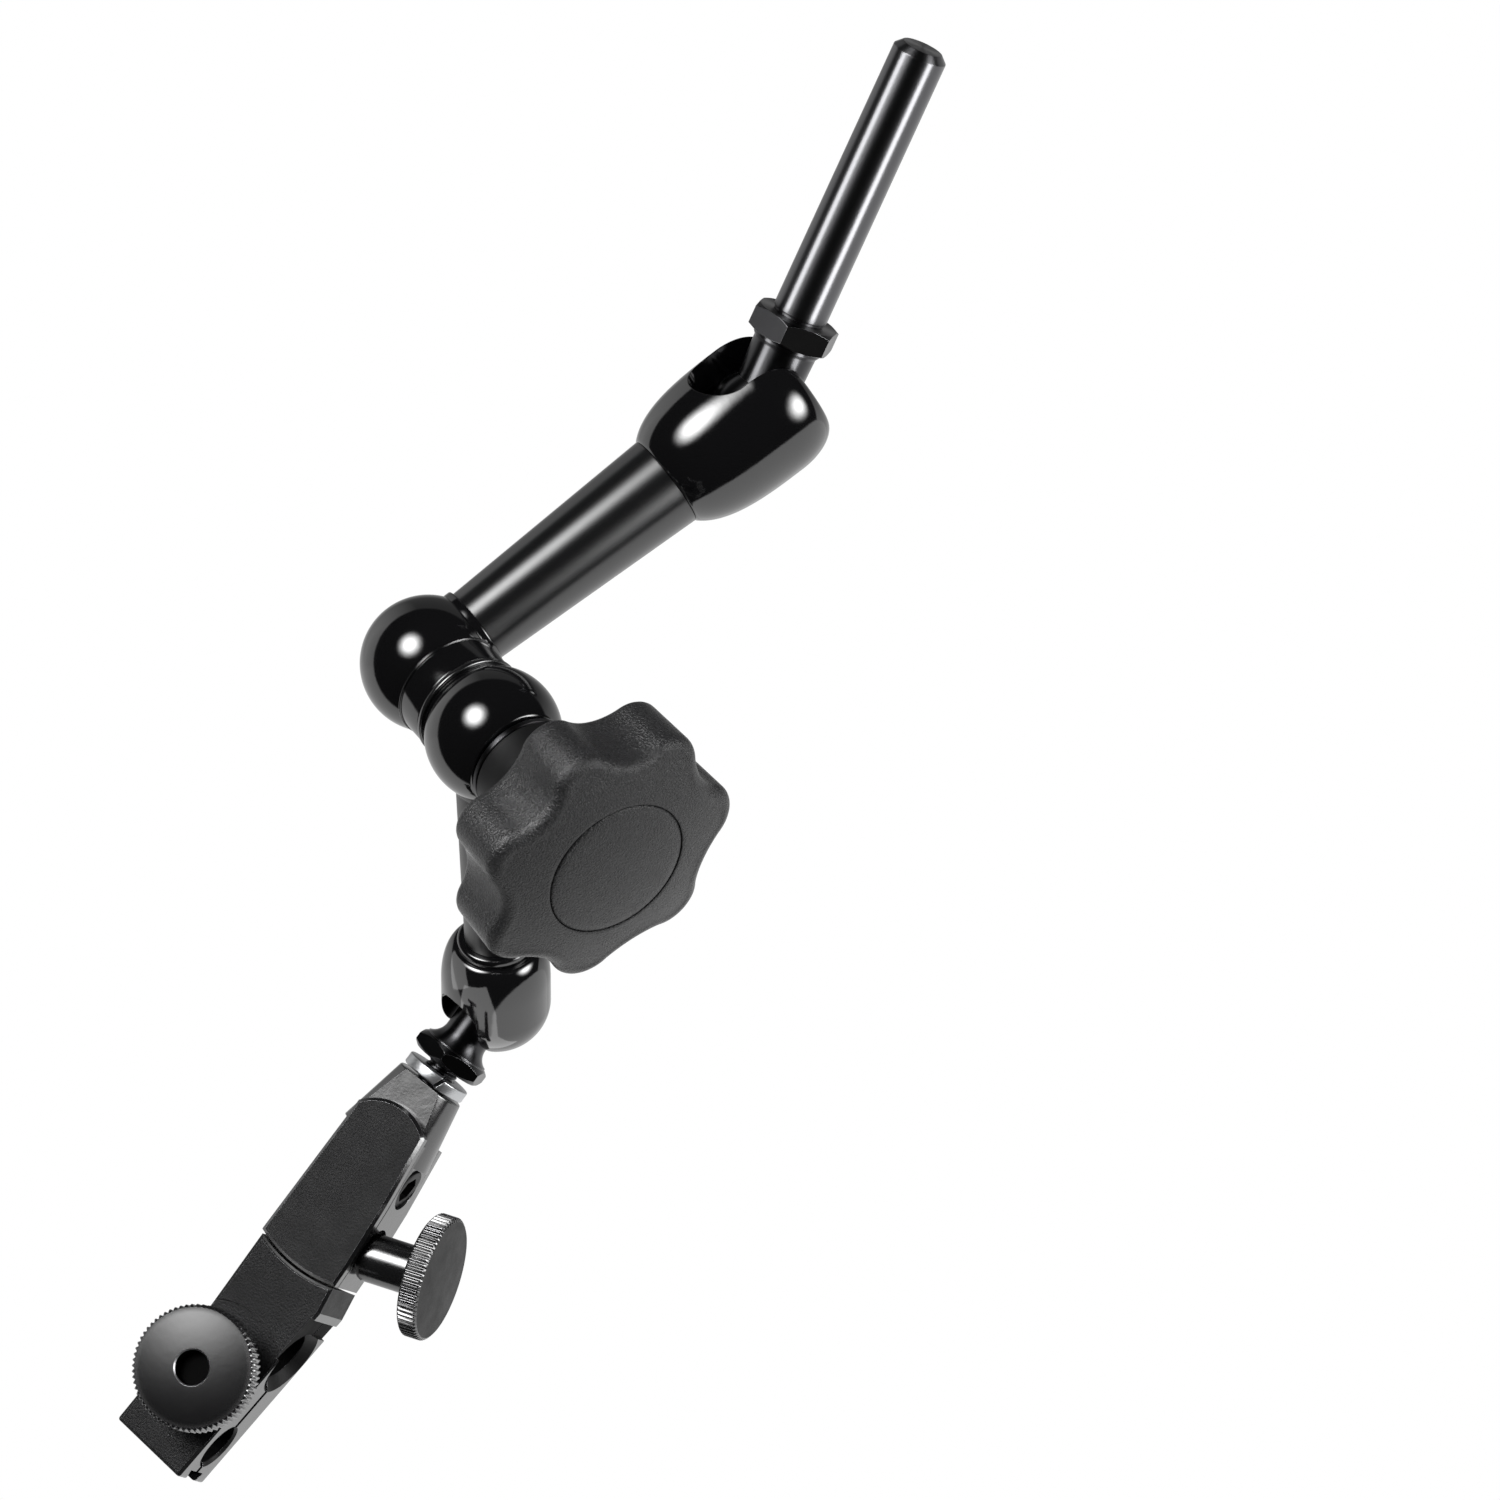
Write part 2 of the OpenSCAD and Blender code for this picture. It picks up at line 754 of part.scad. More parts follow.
// Coil spring: the extruded outline is the level cut through one round coil
module return_spring() {
    coil_r = 1.6;
    wire_r = 0.3;
    turns = 3;
    coil_start = 3;
    coil_len = 3.45;
    spread = 360 * wire_r * turns / coil_len;
    steps = [-1:0.25:1];
    outer = [for (t = steps) (coil_r + wire_r * sqrt(1 - t * t)) * [cos(t * spread), sin(t * spread)]];
    inner = [for (t = steps) if (abs(t) < 1)
        (coil_r - wire_r * sqrt(1 - t * t)) * [cos(t * spread), -sin(t * spread)]];
    color("#9a9da1") clamp_frame() translate([coil_start, mid_y, side_hole_z])
        rotate([0, 90, 0])
            linear_extrude(height = coil_len, twist = -360 * turns, slices = 16 * turns)
                polygon(concat(outer, inner));
}

module spring_plug() {
    plug_low = 6.5;
    plug_h = 1.5;
    socket_flats = 3;
    color("#5d5f63") clamp_frame() translate([plug_low, mid_y, side_hole_z])
        rotate([0, 90, 0]) difference() {
            cylinder(h = plug_h, r = side_hole_r);
            translate([0, 0, plug_h - 1]) cylinder(h = 2, r = socket_flats / sqrt(3), $fn = 6);
        }
}

module fine_screw() {
    color("#18181a") fine_frame() difference() {
        union() {
            rod_of(fine_thread_r, -5.6, 1);
            rod_of(thumb_neck_r, -0.6, fine_face - fine_head_h + 0.5);
            thumb_head(fine_face - fine_head_h, fine_face);
        }
        rod_of(1.65, -6, -3.4);
    }
}

module thrust_tip() {
    tip_r = 1.6;
    color("#c4c6c8") fine_frame() {
        rod_of(tip_r, -fine_pocket_depth + nip + tip_r, -3.5);
        translate([0, 0, -fine_pocket_depth + nip + tip_r]) sphere(r = tip_r);
    }
}

// --- gauge clamp

// Front outline of the gauge clamp below the seam
module clamp_outline() {
    seam_drop = pivot_at[1] - seam_centre[1];
    difference() {
        polygon([[-7.1, 8], [-5, 27.4], [clamp_left, clamp_end], [clamp_right, clamp_end],
            [10.3, 16], [9.3, 12.2], [8.6, 8]]);
        translate([-seam_drop * sin(lever_lean), -seam_drop * cos(lever_lean)])
            circle(r = seam_r + seam_gap, $fn = 180);
    }
}

// Bore across the gauge clamp with a chamfered mouth at each side
module gauge_bore(at, r, bevel) {
    translate([-20, mid_y, at]) rotate([0, 90, 0]) cylinder(h = through, r = r);
    for (side = [[clamp_left - 0.7, 1], [clamp_right, -1]])
        translate([side[0], mid_y, at]) rotate([0, 90 * side[1], 0]) translate([0, 0, -1])
            cylinder(h = bevel + 1, r1 = r + bevel + 1, r2 = r);
}

module clamp_block() {
    tongue_left = -2.6;
    tongue_right = 1.7;
    tongue_top = -11.5;
    color("#39393b") difference() {
        lever_frame() difference() {
            union() {
                slab(body_back, cover_front) clamp_outline();
                translate([tongue_left, mid_y - tongue_w / 2, tongue_top])
                    cube([tongue_right - tongue_left, tongue_w, 28]);
            }
            translate([0, -through / 2, 0]) rotate([-90, 0, 0])
                cylinder(h = through, r = pivot_r + slack);
            gauge_bore(large_bore_at, large_bore_d / 2, 1);
            gauge_bore(small_bore_at, small_bore_d / 2, 0.5);
            translate([-20, mid_y - slit_w / 2, large_bore_at])
                cube([through, slit_w, through]);
            slide_groove();
            translate([screw_at[0], mid_y, screw_at[1]]) rotate([-90, 0, 0])
                cylinder(h = through, r = jaw_thread_r + 0.1);
            translate([screw_at[0], screw_spot_y, screw_at[1]]) rotate([-90, 0, 0])
                cylinder(h = through, r = screw_spot_r);
            translate([screw_at[0], -through / 2, screw_at[1]]) rotate([-90, 0, 0])
                cylinder(h = through, r = jaw_thread_r);
            translate([0, mid_y, side_hole_z - pivot_at[1]]) rotate([0, 90, 0])
                cylinder(h = 5, r = 2.4);
            translate([clamp_right - 1.2, mid_y - 1.5, 17.5]) cube([5, through, 9]);
        }
        fine_frame() rod_of(2.2, -fine_pocket_depth, 0);
    }
}

// Dovetail across the clamp's end face, for gauges with a dovetail foot
module slide_groove() {
    translate([-20, mid_y, clamp_end]) rotate([90, 0, 90]) linear_extrude(through)
        polygon([[-dovetail_mouth / 2, 1], [-dovetail_mouth / 2, 0],
            [-dovetail_floor / 2, -dovetail_depth], [dovetail_floor / 2, -dovetail_depth],
            [dovetail_mouth / 2, 0], [dovetail_mouth / 2, 1]]);
}

module clamp_washer() {
    color("#3a3b3e") clamp_screw_frame() tube_of(thumb_neck_r + 0.4, jaw_thread_r + 0.1, nip, 1);
}

module clamp_screw() {
    thread_len = 13.4;
    color("#18181a") clamp_screw_frame() difference() {
        union() {
            rod_of(jaw_thread_r - slack, -thread_len, 2);
            rod_of(thumb_neck_r, 1 + nip, clamp_lift - clamp_head_h + 0.5);
            thumb_head(clamp_lift - clamp_head_h, clamp_lift);
        }
        rod_of(3, clamp_lift - 2.6, clamp_lift + 1);
    }
}

mounting_shank();
upper_ball_stud();
upper_socket();
upper_ball_seat();
upper_push_rod();
upper_tube();
upper_knuckle();
elbow_bush();
release_springs();
tie_bolt();
upper_wedge();
bolt_stop_ring();
friction_ring();
lower_knuckle();
lower_wedge();
thrust_washer();
star_knob();
knob_insert();
knob_cap();
lower_tube();
lower_push_rod();
lower_ball_seat();
lower_socket();
socket_collar();
lower_ball_stud();
lock_washer();
adjuster_body();
adjuster_cover();
pivot_pin();
return_spring();
spring_plug();
fine_screw();
thrust_tip();
clamp_block();
clamp_washer();
clamp_screw();
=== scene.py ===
"""Articulated indicator holder: visible meshes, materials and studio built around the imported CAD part.

Meshes are drawn in millimetres in the local frame of the joint they belong to, then placed with frames that
come from the record's joints and mounts.
"""
import json
import math

import bmesh
import bpy
from mathutils import Matrix, Vector


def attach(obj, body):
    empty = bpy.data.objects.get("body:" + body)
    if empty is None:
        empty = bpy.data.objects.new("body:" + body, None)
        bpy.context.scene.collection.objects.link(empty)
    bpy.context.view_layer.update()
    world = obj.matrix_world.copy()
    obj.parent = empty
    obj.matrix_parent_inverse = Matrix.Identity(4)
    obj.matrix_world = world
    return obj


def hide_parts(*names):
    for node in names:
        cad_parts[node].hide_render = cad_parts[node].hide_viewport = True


MM = 0.001
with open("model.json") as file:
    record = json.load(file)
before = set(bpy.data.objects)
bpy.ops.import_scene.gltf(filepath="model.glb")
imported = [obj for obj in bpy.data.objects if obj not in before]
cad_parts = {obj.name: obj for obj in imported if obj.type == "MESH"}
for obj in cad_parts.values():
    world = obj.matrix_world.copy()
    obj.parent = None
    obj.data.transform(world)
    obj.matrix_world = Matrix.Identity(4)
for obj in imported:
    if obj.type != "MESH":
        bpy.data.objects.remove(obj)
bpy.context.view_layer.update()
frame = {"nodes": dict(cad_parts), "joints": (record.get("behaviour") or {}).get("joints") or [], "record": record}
record = frame["record"]
joints = {j["name"]: j for j in frame["joints"]}
mounts = {m["name"]: m for m in record["mounts"]}


# --- frames, from the record

def placed(origin, z, y):
    """Frame with the given origin, Z axis and Y axis."""
    z, y = Vector(z).normalized(), Vector(y).normalized()
    m = Matrix((y.cross(z), y, z)).transposed().to_4x4()
    m.translation = Vector(origin)
    return m


def relative(a, b):
    """Frame b seen from frame a, in millimetres."""
    m = a.inverted() @ b
    m.translation /= MM
    return m


def along(m, z):
    """Frame m moved z millimetres along its own Z."""
    return m @ Matrix.Translation((0, 0, z * MM))


big_ball = Vector(joints["upper_tilt"]["pos_m"])
elbow_at = Vector(joints["elbow"]["pos_m"])
tie_axis = Vector(joints["elbow"]["axis"])
small_ball = Vector(joints["lower_tilt"]["pos_m"])
small_side = Vector(joints["lower_tilt"]["axis"])
stud_axis = Vector(joints["clamp_spin"]["axis"])
face_axis = -Vector(joints["gauge_tilt"]["axis"])
bore_axis = Vector(mounts["large_gauge_bore"]["axis"])
near_at = elbow_at + tie_axis * (small_ball - elbow_at).dot(tie_axis)
screw_axis = Vector(joints["clamp_turn"]["axis"])

SHANK = Matrix.Identity(4)
UPPER = placed(big_ball, elbow_at - big_ball, joints["upper_tilt"]["axis"])
ELBOW = placed(elbow_at, tie_axis, elbow_at - big_ball)
LOWER = placed(near_at, small_ball - near_at, small_side)
HEAD = placed(small_ball, small_ball - near_at, small_side)
STUD = placed(small_ball, stud_axis, small_side)
CLAMP = placed(small_ball, stud_axis, face_axis)
LEVER = placed(joints["gauge_tilt"]["pos_m"], bore_axis.cross(face_axis), face_axis)
FINE = placed(joints["fine_turn"]["pos_m"], -Vector(joints["fine_turn"]["axis"]), face_axis)
SCREW = placed(joints["clamp_turn"]["pos_m"], screw_axis, screw_axis.cross(bore_axis))
ARM_LEN = (elbow_at - big_ball).length / MM
PITCH = (near_at - elbow_at).length / MM
LOWER_LEN = (small_ball - near_at).length / MM


# --- outlines

def rounded(points, closed=False, steps=4):
    """Polyline with its corners rounded: points are (x, y) or (x, y, radius)."""
    out, n = [], len(points)
    for i, point in enumerate(points):
        p = Vector(point[:2])
        r = point[2] if len(point) > 2 else 0
        if r <= 0 or (not closed and i in (0, n - 1)):
            out.append((p.x, p.y))
            continue
        a = Vector(points[i - 1][:2]) - p
        b = Vector(points[(i + 1) % n][:2]) - p
        half = a.angle(b) / 2
        cut = min(r / math.tan(half), a.length * 0.49, b.length * 0.49)
        r = cut * math.tan(half)
        a, b = a.normalized(), b.normalized()
        centre = p + (a + b).normalized() * (r / math.sin(half))
        v0, v1 = p + a * cut - centre, p + b * cut - centre
        start = math.atan2(v0.y, v0.x)
        sweep = (math.atan2(v1.y, v1.x) - start + math.pi) % (2 * math.pi) - math.pi
        out += [(centre.x + r * math.cos(start + sweep * k / steps),
                 centre.y + r * math.sin(start + sweep * k / steps)) for k in range(steps + 1)]
    return out


def arc(cx, cy, rx, ry, a0, a1, steps=20):
    """Points on an ellipse, angles in degrees."""
    return [(cx + rx * math.cos(math.radians(a0 + (a1 - a0) * k / steps)),
             cy + ry * math.sin(math.radians(a0 + (a1 - a0) * k / steps))) for k in range(steps + 1)]


def inset(outline, distance):
    """Closed counter-clockwise outline moved inwards."""
    out, n = [], len(outline)
    for i, p in enumerate(outline):
        p = Vector(p)
        a, b = (p - Vector(outline[i - 1])).normalized(), (Vector(outline[(i + 1) % n]) - p).normalized()
        na, nb = Vector((-a.y, a.x)), Vector((-b.y, b.x))
        m = (na + nb).normalized()
        q = p + m * distance / max(m.dot(na), 0.3)
        out.append((q.x, q.y))
    return out


# --- meshes

def skin(rings, closed=False):
    """Mesh through rings of points. A ring of one point closes that end; other open ends get a cap."""
    bm = bmesh.new()
    rows = [[bm.verts.new(p) for p in ring] for ring in rings]
    pairs = list(zip(rows, rows[1:])) + ([(rows[-1], rows[0])] if closed else [])
    for lo, hi in pairs:
        n = max(len(lo), len(hi))
        for i in range(n):
            quad = [lo[i % len(lo)], lo[(i + 1) % len(lo)], hi[(i + 1) % len(hi)], hi[i % len(hi)]]
            bm.faces.new(list(dict.fromkeys(quad)))
    if not closed:
        for row, flip in ((rows[0], True), (rows[-1], False)):
            if len(row) > 1:
                bm.faces.new(row[::-1] if flip else row)
    bmesh.ops.recalc_face_normals(bm, faces=bm.faces)
    return bm


def lathe(profile, closed=False, segments=144):
    """Solid of revolution about Z from (radius, height) points."""
    turns = [2 * math.pi * k / segments for k in range(segments)]
    rings = []
    for r, z in profile:
        if r < 1e-4:
            rings.append([(0, 0, z)])
        else:
            rings.append([(r * math.cos(t), r * math.sin(t), z) for t in turns])
    return skin(rings, closed)


def ring(r_out, r_in, low, high, edge=0.12, segments=128):
    """Washer with rounded edges."""
    section = [(r_in, low, edge), (r_out, low, edge), (r_out, high, edge), (r_in, high, edge)]
    return lathe(rounded(section, True), True, segments)


def rod(r, low, high, segments=96):
    return lathe([(0, low), (r, low), (r, high), (0, high)], False, segments)


def ball(r, z=0, segments=144):
    return lathe([(0, z - r)] + arc(0, z, r, r, -90, 90, 72)[1:-1] + [(0, z + r)], False, segments)


def bullet(r, end):
    """Ball at the origin whose bore runs on to the given height, as one cutting tool."""
    way = math.copysign(1, end)
    profile = [(0, -way * r)] + arc(0, 0, r, way * r, -90, 0, 40)[1:] + [(r, end), (0, end)]
    return lathe(profile, False, 160)


def box(x0, x1, y0, y1, z0, z1):
    return skin([[(x0, y0, z), (x1, y0, z), (x1, y1, z), (x0, y1, z)] for z in (z0, z1)])


def slab(outline, back, front, chamfer_back, chamfer_front):
    """Plate drawn in X and Z, thick along Y, both its edges chamfered."""
    levels = [(inset(outline, chamfer_back), back), (outline, back + chamfer_back),
              (outline, front - chamfer_front), (inset(outline, chamfer_front), front)]
    return skin([[(x, y, z) for x, z in line] for line, y in levels])


def solid(bm, matrix=None):
    """Loose object from a bmesh, used as raw material or as a cutting tool."""
    if matrix is not None:
        bm.transform(matrix)
    mesh = bpy.data.meshes.new("raw")
    bm.to_mesh(mesh)
    bm.free()
    obj = bpy.data.objects.new("raw", mesh)
    bpy.context.scene.collection.objects.link(obj)
    return obj


def shaped(obj, operation, *tools):
    """obj after a boolean with each tool in turn; the tools are used up."""
    for tool in tools:
        modifier = obj.modifiers.new("shape", "BOOLEAN")
        modifier.operation = operation
        modifier.solver = "EXACT"
        modifier.object = tool
    mesh = bpy.data.meshes.new_from_object(obj.evaluated_get(bpy.context.evaluated_depsgraph_get()))
    obj.modifiers.clear()
    old, obj.data = obj.data, mesh
    bpy.data.meshes.remove(old)
    for tool in tools:
        data = tool.data
        bpy.data.objects.remove(tool)
        bpy.data.meshes.remove(data)
    return obj


def hexagon(flats, low, high, chamfer, rise, start=0):
    """Hexagon whose corners are cut back by a cone at both ends."""
    corner = flats / math.sqrt(3)
    prism = [[(corner * math.cos(math.radians(a)), corner * math.sin(math.radians(a)), z)
              for a in range(start, start + 360, 60)] for z in (low, high)]
    cone = lathe([(0, low), (corner - chamfer, low), (corner + 0.02, low + rise),
                  (corner + 0.02, high - rise), (corner - chamfer, high), (0, high)])
    return shaped(solid(skin(prism)), "INTERSECT", solid(cone))


def joined(*parts):
    """One object from several that only touch."""
    bm = bmesh.new()
    for part in parts:
        bm.from_mesh(part.data)
        bpy.data.objects.remove(part)
    return solid(bm)


def turn(axis, degrees):
    return Matrix.Rotation(math.radians(degrees), 4, axis)


def move(x=0, y=0, z=0):
    return Matrix.Translation((x, y, z))


def piece(name, obj, at, body, material, nodes, angle=33):
    """Finished piece in metres, smooth but for edges sharper than angle, placed and riding on its body."""
    obj.name = obj.data.name = name
    obj.data.transform(Matrix.Scale(MM, 4))
    obj.data.polygons.foreach_set("use_smooth", [True] * len(obj.data.polygons))
    obj.data.set_sharp_from_angle(angle=math.radians(angle))
    obj.data.materials.clear()
    obj.data.materials.append(material)
    obj.matrix_world = at
    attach(obj, body)
    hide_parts(*nodes)
    return obj


def paint(obj, material, test):
    """Second finish on the polygons whose centre (mm) and normal pass the test."""
    obj.data.materials.append(material)
    index = len(obj.data.materials) - 1
    for polygon in obj.data.polygons:
        if test(polygon.center / MM, polygon.normal):
            polygon.material_index = index


# --- materials

SMUDGES = 220  # patches of different roughness, per metre
SMOOTH_EDGE, WORN_EDGE = 0.985, 0.9  # cosines between the bevelled and the true normal


def finish(name, colour, rough, metallic=0.0, ior=1.5, grain=(900, 0.0), fine=(6000, 0.0), spread=0.05,
           edge=None, edge_mm=0.2, streak=0.0, mottle=0.0):
    """Procedural finish. grain and fine are (scale per metre, bump strength). edge is the colour that
    worn edges show, streak stretches highlights round the turning axis, and mottle varies the colour."""
    mat = bpy.data.materials.new(name)
    mat.use_nodes = True
    nodes, links = mat.node_tree.nodes, mat.node_tree.links
    shader = nodes["Principled BSDF"]
    where = nodes.new("ShaderNodeTexCoord").outputs["Object"]

    def noise(scale, detail=4.0, roughness=0.6):
        node = nodes.new("ShaderNodeTexNoise")
        node.inputs["Scale"].default_value = scale
        node.inputs["Detail"].default_value = detail
        node.inputs["Roughness"].default_value = roughness
        links.new(where, node.inputs["Vector"])
        return node.outputs["Fac"]

    def ranged(value, lo, hi, to_lo, to_hi):
        node = nodes.new("ShaderNodeMapRange")
        links.new(value, node.inputs["Value"])
        for key, v in zip(("From Min", "From Max", "To Min", "To Max"), (lo, hi, to_lo, to_hi)):
            node.inputs[key].default_value = v
        return node.outputs["Result"]

    def mixed(factor, a, b):
        node = nodes.new("ShaderNodeMix")
        node.data_type = "RGBA"
        for key, v in ((0, factor), (6, a), (7, b)):
            if isinstance(v, (tuple, float)):
                node.inputs[key].default_value = v
            else:
                links.new(v, node.inputs[key])
        return node.outputs[2]

    bevel = nodes.new("ShaderNodeBevel")
    bevel.samples = 4
    bevel.inputs["Radius"].default_value = edge_mm * MM
    normal = bevel.outputs["Normal"]
    for scale, strength in (grain, fine):
        if strength > 0:
            bump = nodes.new("ShaderNodeBump")
            bump.inputs["Strength"].default_value = strength
            bump.inputs["Distance"].default_value = 0.5 / scale
            links.new(noise(scale, 3.0, 0.55), bump.inputs["Height"])
            links.new(normal, bump.inputs["Normal"])
            normal = bump.outputs["Normal"]
    links.new(normal, shader.inputs["Normal"])

    base = tuple(colour) + (1.0,)
    tone = base
    if mottle > 0:
        light = tuple(min(1.0, c * (1 + mottle)) for c in colour) + (1.0,)
        dark = tuple(c * (1 - mottle * 0.5) for c in colour) + (1.0,)
        tone = mixed(ranged(noise(fine[0], 2.0, 0.5), 0.35, 0.65, 0.0, 1.0), dark, light)
    if edge:
        dot = nodes.new("ShaderNodeVectorMath")
        dot.operation = "DOT_PRODUCT"
        links.new(bevel.outputs["Normal"], dot.inputs[0])
        links.new(nodes.new("ShaderNodeNewGeometry").outputs["Normal"], dot.inputs[1])
        worn = ranged(dot.outputs["Value"], SMOOTH_EDGE, WORN_EDGE, 0.0, 1.0)
        links.new(mixed(worn, tone, tuple(edge) + (1.0,)), shader.inputs["Base Color"])
        links.new(ranged(worn, 0.0, 1.0, metallic, 1.0), shader.inputs["Metallic"])
    else:
        if mottle > 0:
            links.new(tone, shader.inputs["Base Color"])
        else:
            shader.inputs["Base Color"].default_value = base
        shader.inputs["Metallic"].default_value = metallic
    links.new(ranged(noise(SMUDGES, 3.0), 0.3, 0.7, max(0.02, rough - spread), rough + spread),
              shader.inputs["Roughness"])
    shader.inputs["IOR"].default_value = ior
    if streak > 0:
        shader.inputs["Anisotropic"].default_value = streak
        shader.inputs["Anisotropic Rotation"].default_value = 0.25
        tangent = nodes.new("ShaderNodeTangent")
        tangent.direction_type = "RADIAL"
        tangent.axis = "Z"
        links.new(tangent.outputs["Tangent"], shader.inputs["Tangent"])
    return mat


STEEL_EDGE = (0.30, 0.30, 0.31)
lacquer = finish("gloss_black", (0.004, 0.004, 0.0045), 0.08, ior=1.9, grain=(500, 0.012), spread=0.02)
ground = finish("ground_black", (0.13, 0.13, 0.135), 0.32, metallic=1.0, streak=0.85, spread=0.01,
                fine=(9000, 0.02))
turned = finish("turned_black", (0.07, 0.07, 0.073), 0.33, metallic=1.0, streak=0.95, spread=0.02,
                edge=STEEL_EDGE, edge_mm=0.12)
satin = finish("satin_black", (0.006, 0.006, 0.0065), 0.33, ior=1.9, streak=0.85, grain=(3000, 0.01),
               spread=0.01)
face = finish("face_black", (0.004, 0.004, 0.0045), 0.26, ior=1.5, grain=(900, 0.02), spread=0.01)
# Near-black, dull, hardly reflecting finish: painted shade in recesses and on the clamp's notch floor, and a
# painted dark reflection on one flat of each hexagon.
painted_deep_shade = finish("painted_deep_shade_black", (0.001, 0.001, 0.001), 0.5, ior=1.1)
# Dull near-black finish: painted shade on the knob's hub, on the plug in the side hole, on the fine screw's face
# and on the clamp block's inner walls.
painted_shade = finish("painted_shade_black", (0.004, 0.004, 0.0042), 0.45, ior=1.3, grain=(3000, 0.1), spread=0.05)
# Light grey metal, used only on the clamp screw's recess chamfer as a painted highlight ring.
bright = finish("painted_highlight_edge", (0.42, 0.42, 0.43), 0.4, metallic=1.0, grain=(3000, 0.05), spread=0.05)
oxide = finish("black_oxide", (0.008, 0.008, 0.0085), 0.17, ior=2.1, edge=STEEL_EDGE, edge_mm=0.13,
               grain=(900, 0.03), spread=0.04)
blasted = finish("blasted_black", (0.007, 0.007, 0.0075), 0.52, ior=1.33, grain=(2600, 0.35),
                 fine=(9000, 0.25), mottle=0.5, edge=STEEL_EDGE, edge_mm=0.13)
speckled = finish("speckled_black", (0.004, 0.004, 0.0045), 0.45, ior=1.3, grain=(2600, 0.5),
                  fine=(7000, 0.4), mottle=0.9, edge=STEEL_EDGE, edge_mm=0.13)
plastic = finish("grained_plastic", (0.014, 0.014, 0.0145), 0.26, ior=1.44, grain=(2400, 0.8),
                 fine=(3200, 0.9), mottle=0.7, edge_mm=0.1)
zinc = finish("bright_zinc", (0.55, 0.56, 0.57), 0.36, metallic=1.0, grain=(1800, 0.05))
steel = finish("plain_steel", (0.42, 0.43, 0.45), 0.3, metallic=1.0, grain=(1200, 0.04), streak=0.5)
bronze = finish("turned_bronze", (0.52, 0.34, 0.16), 0.32, metallic=1.0, grain=(1300, 0.05), streak=0.5)

# --- mounting shank and large ball stud

SHANK_R, SHANK_LEN = mounts["mounting_shank"]["dims"]["r_mm"], 51.1
FOOT_R, FOOT_H, TIP_CUT = 4.45, 0.45, 1.2
shank_profile = rounded([(0, 0), (FOOT_R, 0), (FOOT_R, FOOT_H, 0.1), (SHANK_R, FOOT_H + 0.15, 0.1),
                         (SHANK_R, SHANK_LEN - TIP_CUT, 0.25), (SHANK_R - TIP_CUT, SHANK_LEN, 0.25),
                         (0, SHANK_LEN)])
shank = piece("shank", solid(lathe(shank_profile)), SHANK, "shank", ground, ["mounting_shank"])

STUD_DROP, BIG_BALL_R = -big_ball.z / MM, 7.9
COLLAR_FLATS, COLLAR_LOW, COLLAR_HIGH, COLLAR_TURN = 13.8, -4.25, -0.05, -11
BIG_NECK_R, SKIRT_R, SKIRT_LOW, SKIRT_HIGH = 5.5, 6.05, -5.0, -4.1
neck_join = -STUD_DROP + math.sqrt(BIG_BALL_R**2 - BIG_NECK_R**2)
stud_profile = ([(0, -STUD_DROP - BIG_BALL_R)] + arc(0, -STUD_DROP, BIG_BALL_R, BIG_BALL_R, -88, 44.5, 60)
                + rounded([(BIG_NECK_R + 0.06, neck_join - 0.2), (BIG_NECK_R - 0.05, neck_join + 0.7, 0.6),
                           (BIG_NECK_R + 0.12, SKIRT_LOW - 0.6, 0.5), (SKIRT_R, SKIRT_LOW, 0.3),
                           (SKIRT_R, SKIRT_HIGH), (0, SKIRT_HIGH)]))
collar = hexagon(COLLAR_FLATS, COLLAR_LOW, COLLAR_HIGH, chamfer=1.0, rise=0.55, start=COLLAR_TURN)
large_stud = piece("large_ball_stud", joined(collar, solid(lathe(stud_profile))), SHANK, "upper_stud", turned,
                   ["upper_ball_stud"], angle=28)

# --- upper arm

OFF = 0.013


def swing_slot(width, reach, up):
    """Cutting tools for a neck's swing from the head's tip to its +X side, their faces kept apart by OFF."""
    a, b = sorted((-up * OFF, up * reach))
    r = width / 2 + OFF
    return [solid(box(-OFF, reach, -width / 2, width / 2, a, b)), solid(rod(r, a - OFF, b + 1, 160)),
            solid(rod(r, -2 * OFF, reach + 1, 160), turn("Y", 90))]


# The head's flank is a superellipse of power 3 that would close BARREL beyond its widest place.
HEAD_TIP, TIP_R, WIDEST_R, WIDEST_Z, SEAM_AT, BARREL = -9, 8.2, 12.4, -1.0, 18.8, 22.3
UPPER_BORE_R, UPPER_SLOT_W, FLANK_STEPS = 7.95, 13.2, 48
flank_rise = SEAM_AT - WIDEST_Z - 0.15
flank_heights = [flank_rise * k / FLANK_STEPS for k in range(1, FLANK_STEPS + 1)]
flank = [(WIDEST_R * (1 - (h / BARREL)**3)**(1 / 3), WIDEST_Z + h) for h in flank_heights]
head = solid(lathe([(0, HEAD_TIP)] + arc(TIP_R, WIDEST_Z, WIDEST_R - TIP_R, WIDEST_Z - HEAD_TIP, -90, 0, 36)
                   + flank + [(TIP_R - 0.1, SEAM_AT), (0, SEAM_AT)], segments=192))
shaped(head, "DIFFERENCE", solid(bullet(UPPER_BORE_R, SEAM_AT + 3.2)), *swing_slot(UPPER_SLOT_W, 30, -1))
piece("large_head", head, UPPER, "upper_arm", lacquer, ["upper_socket"])

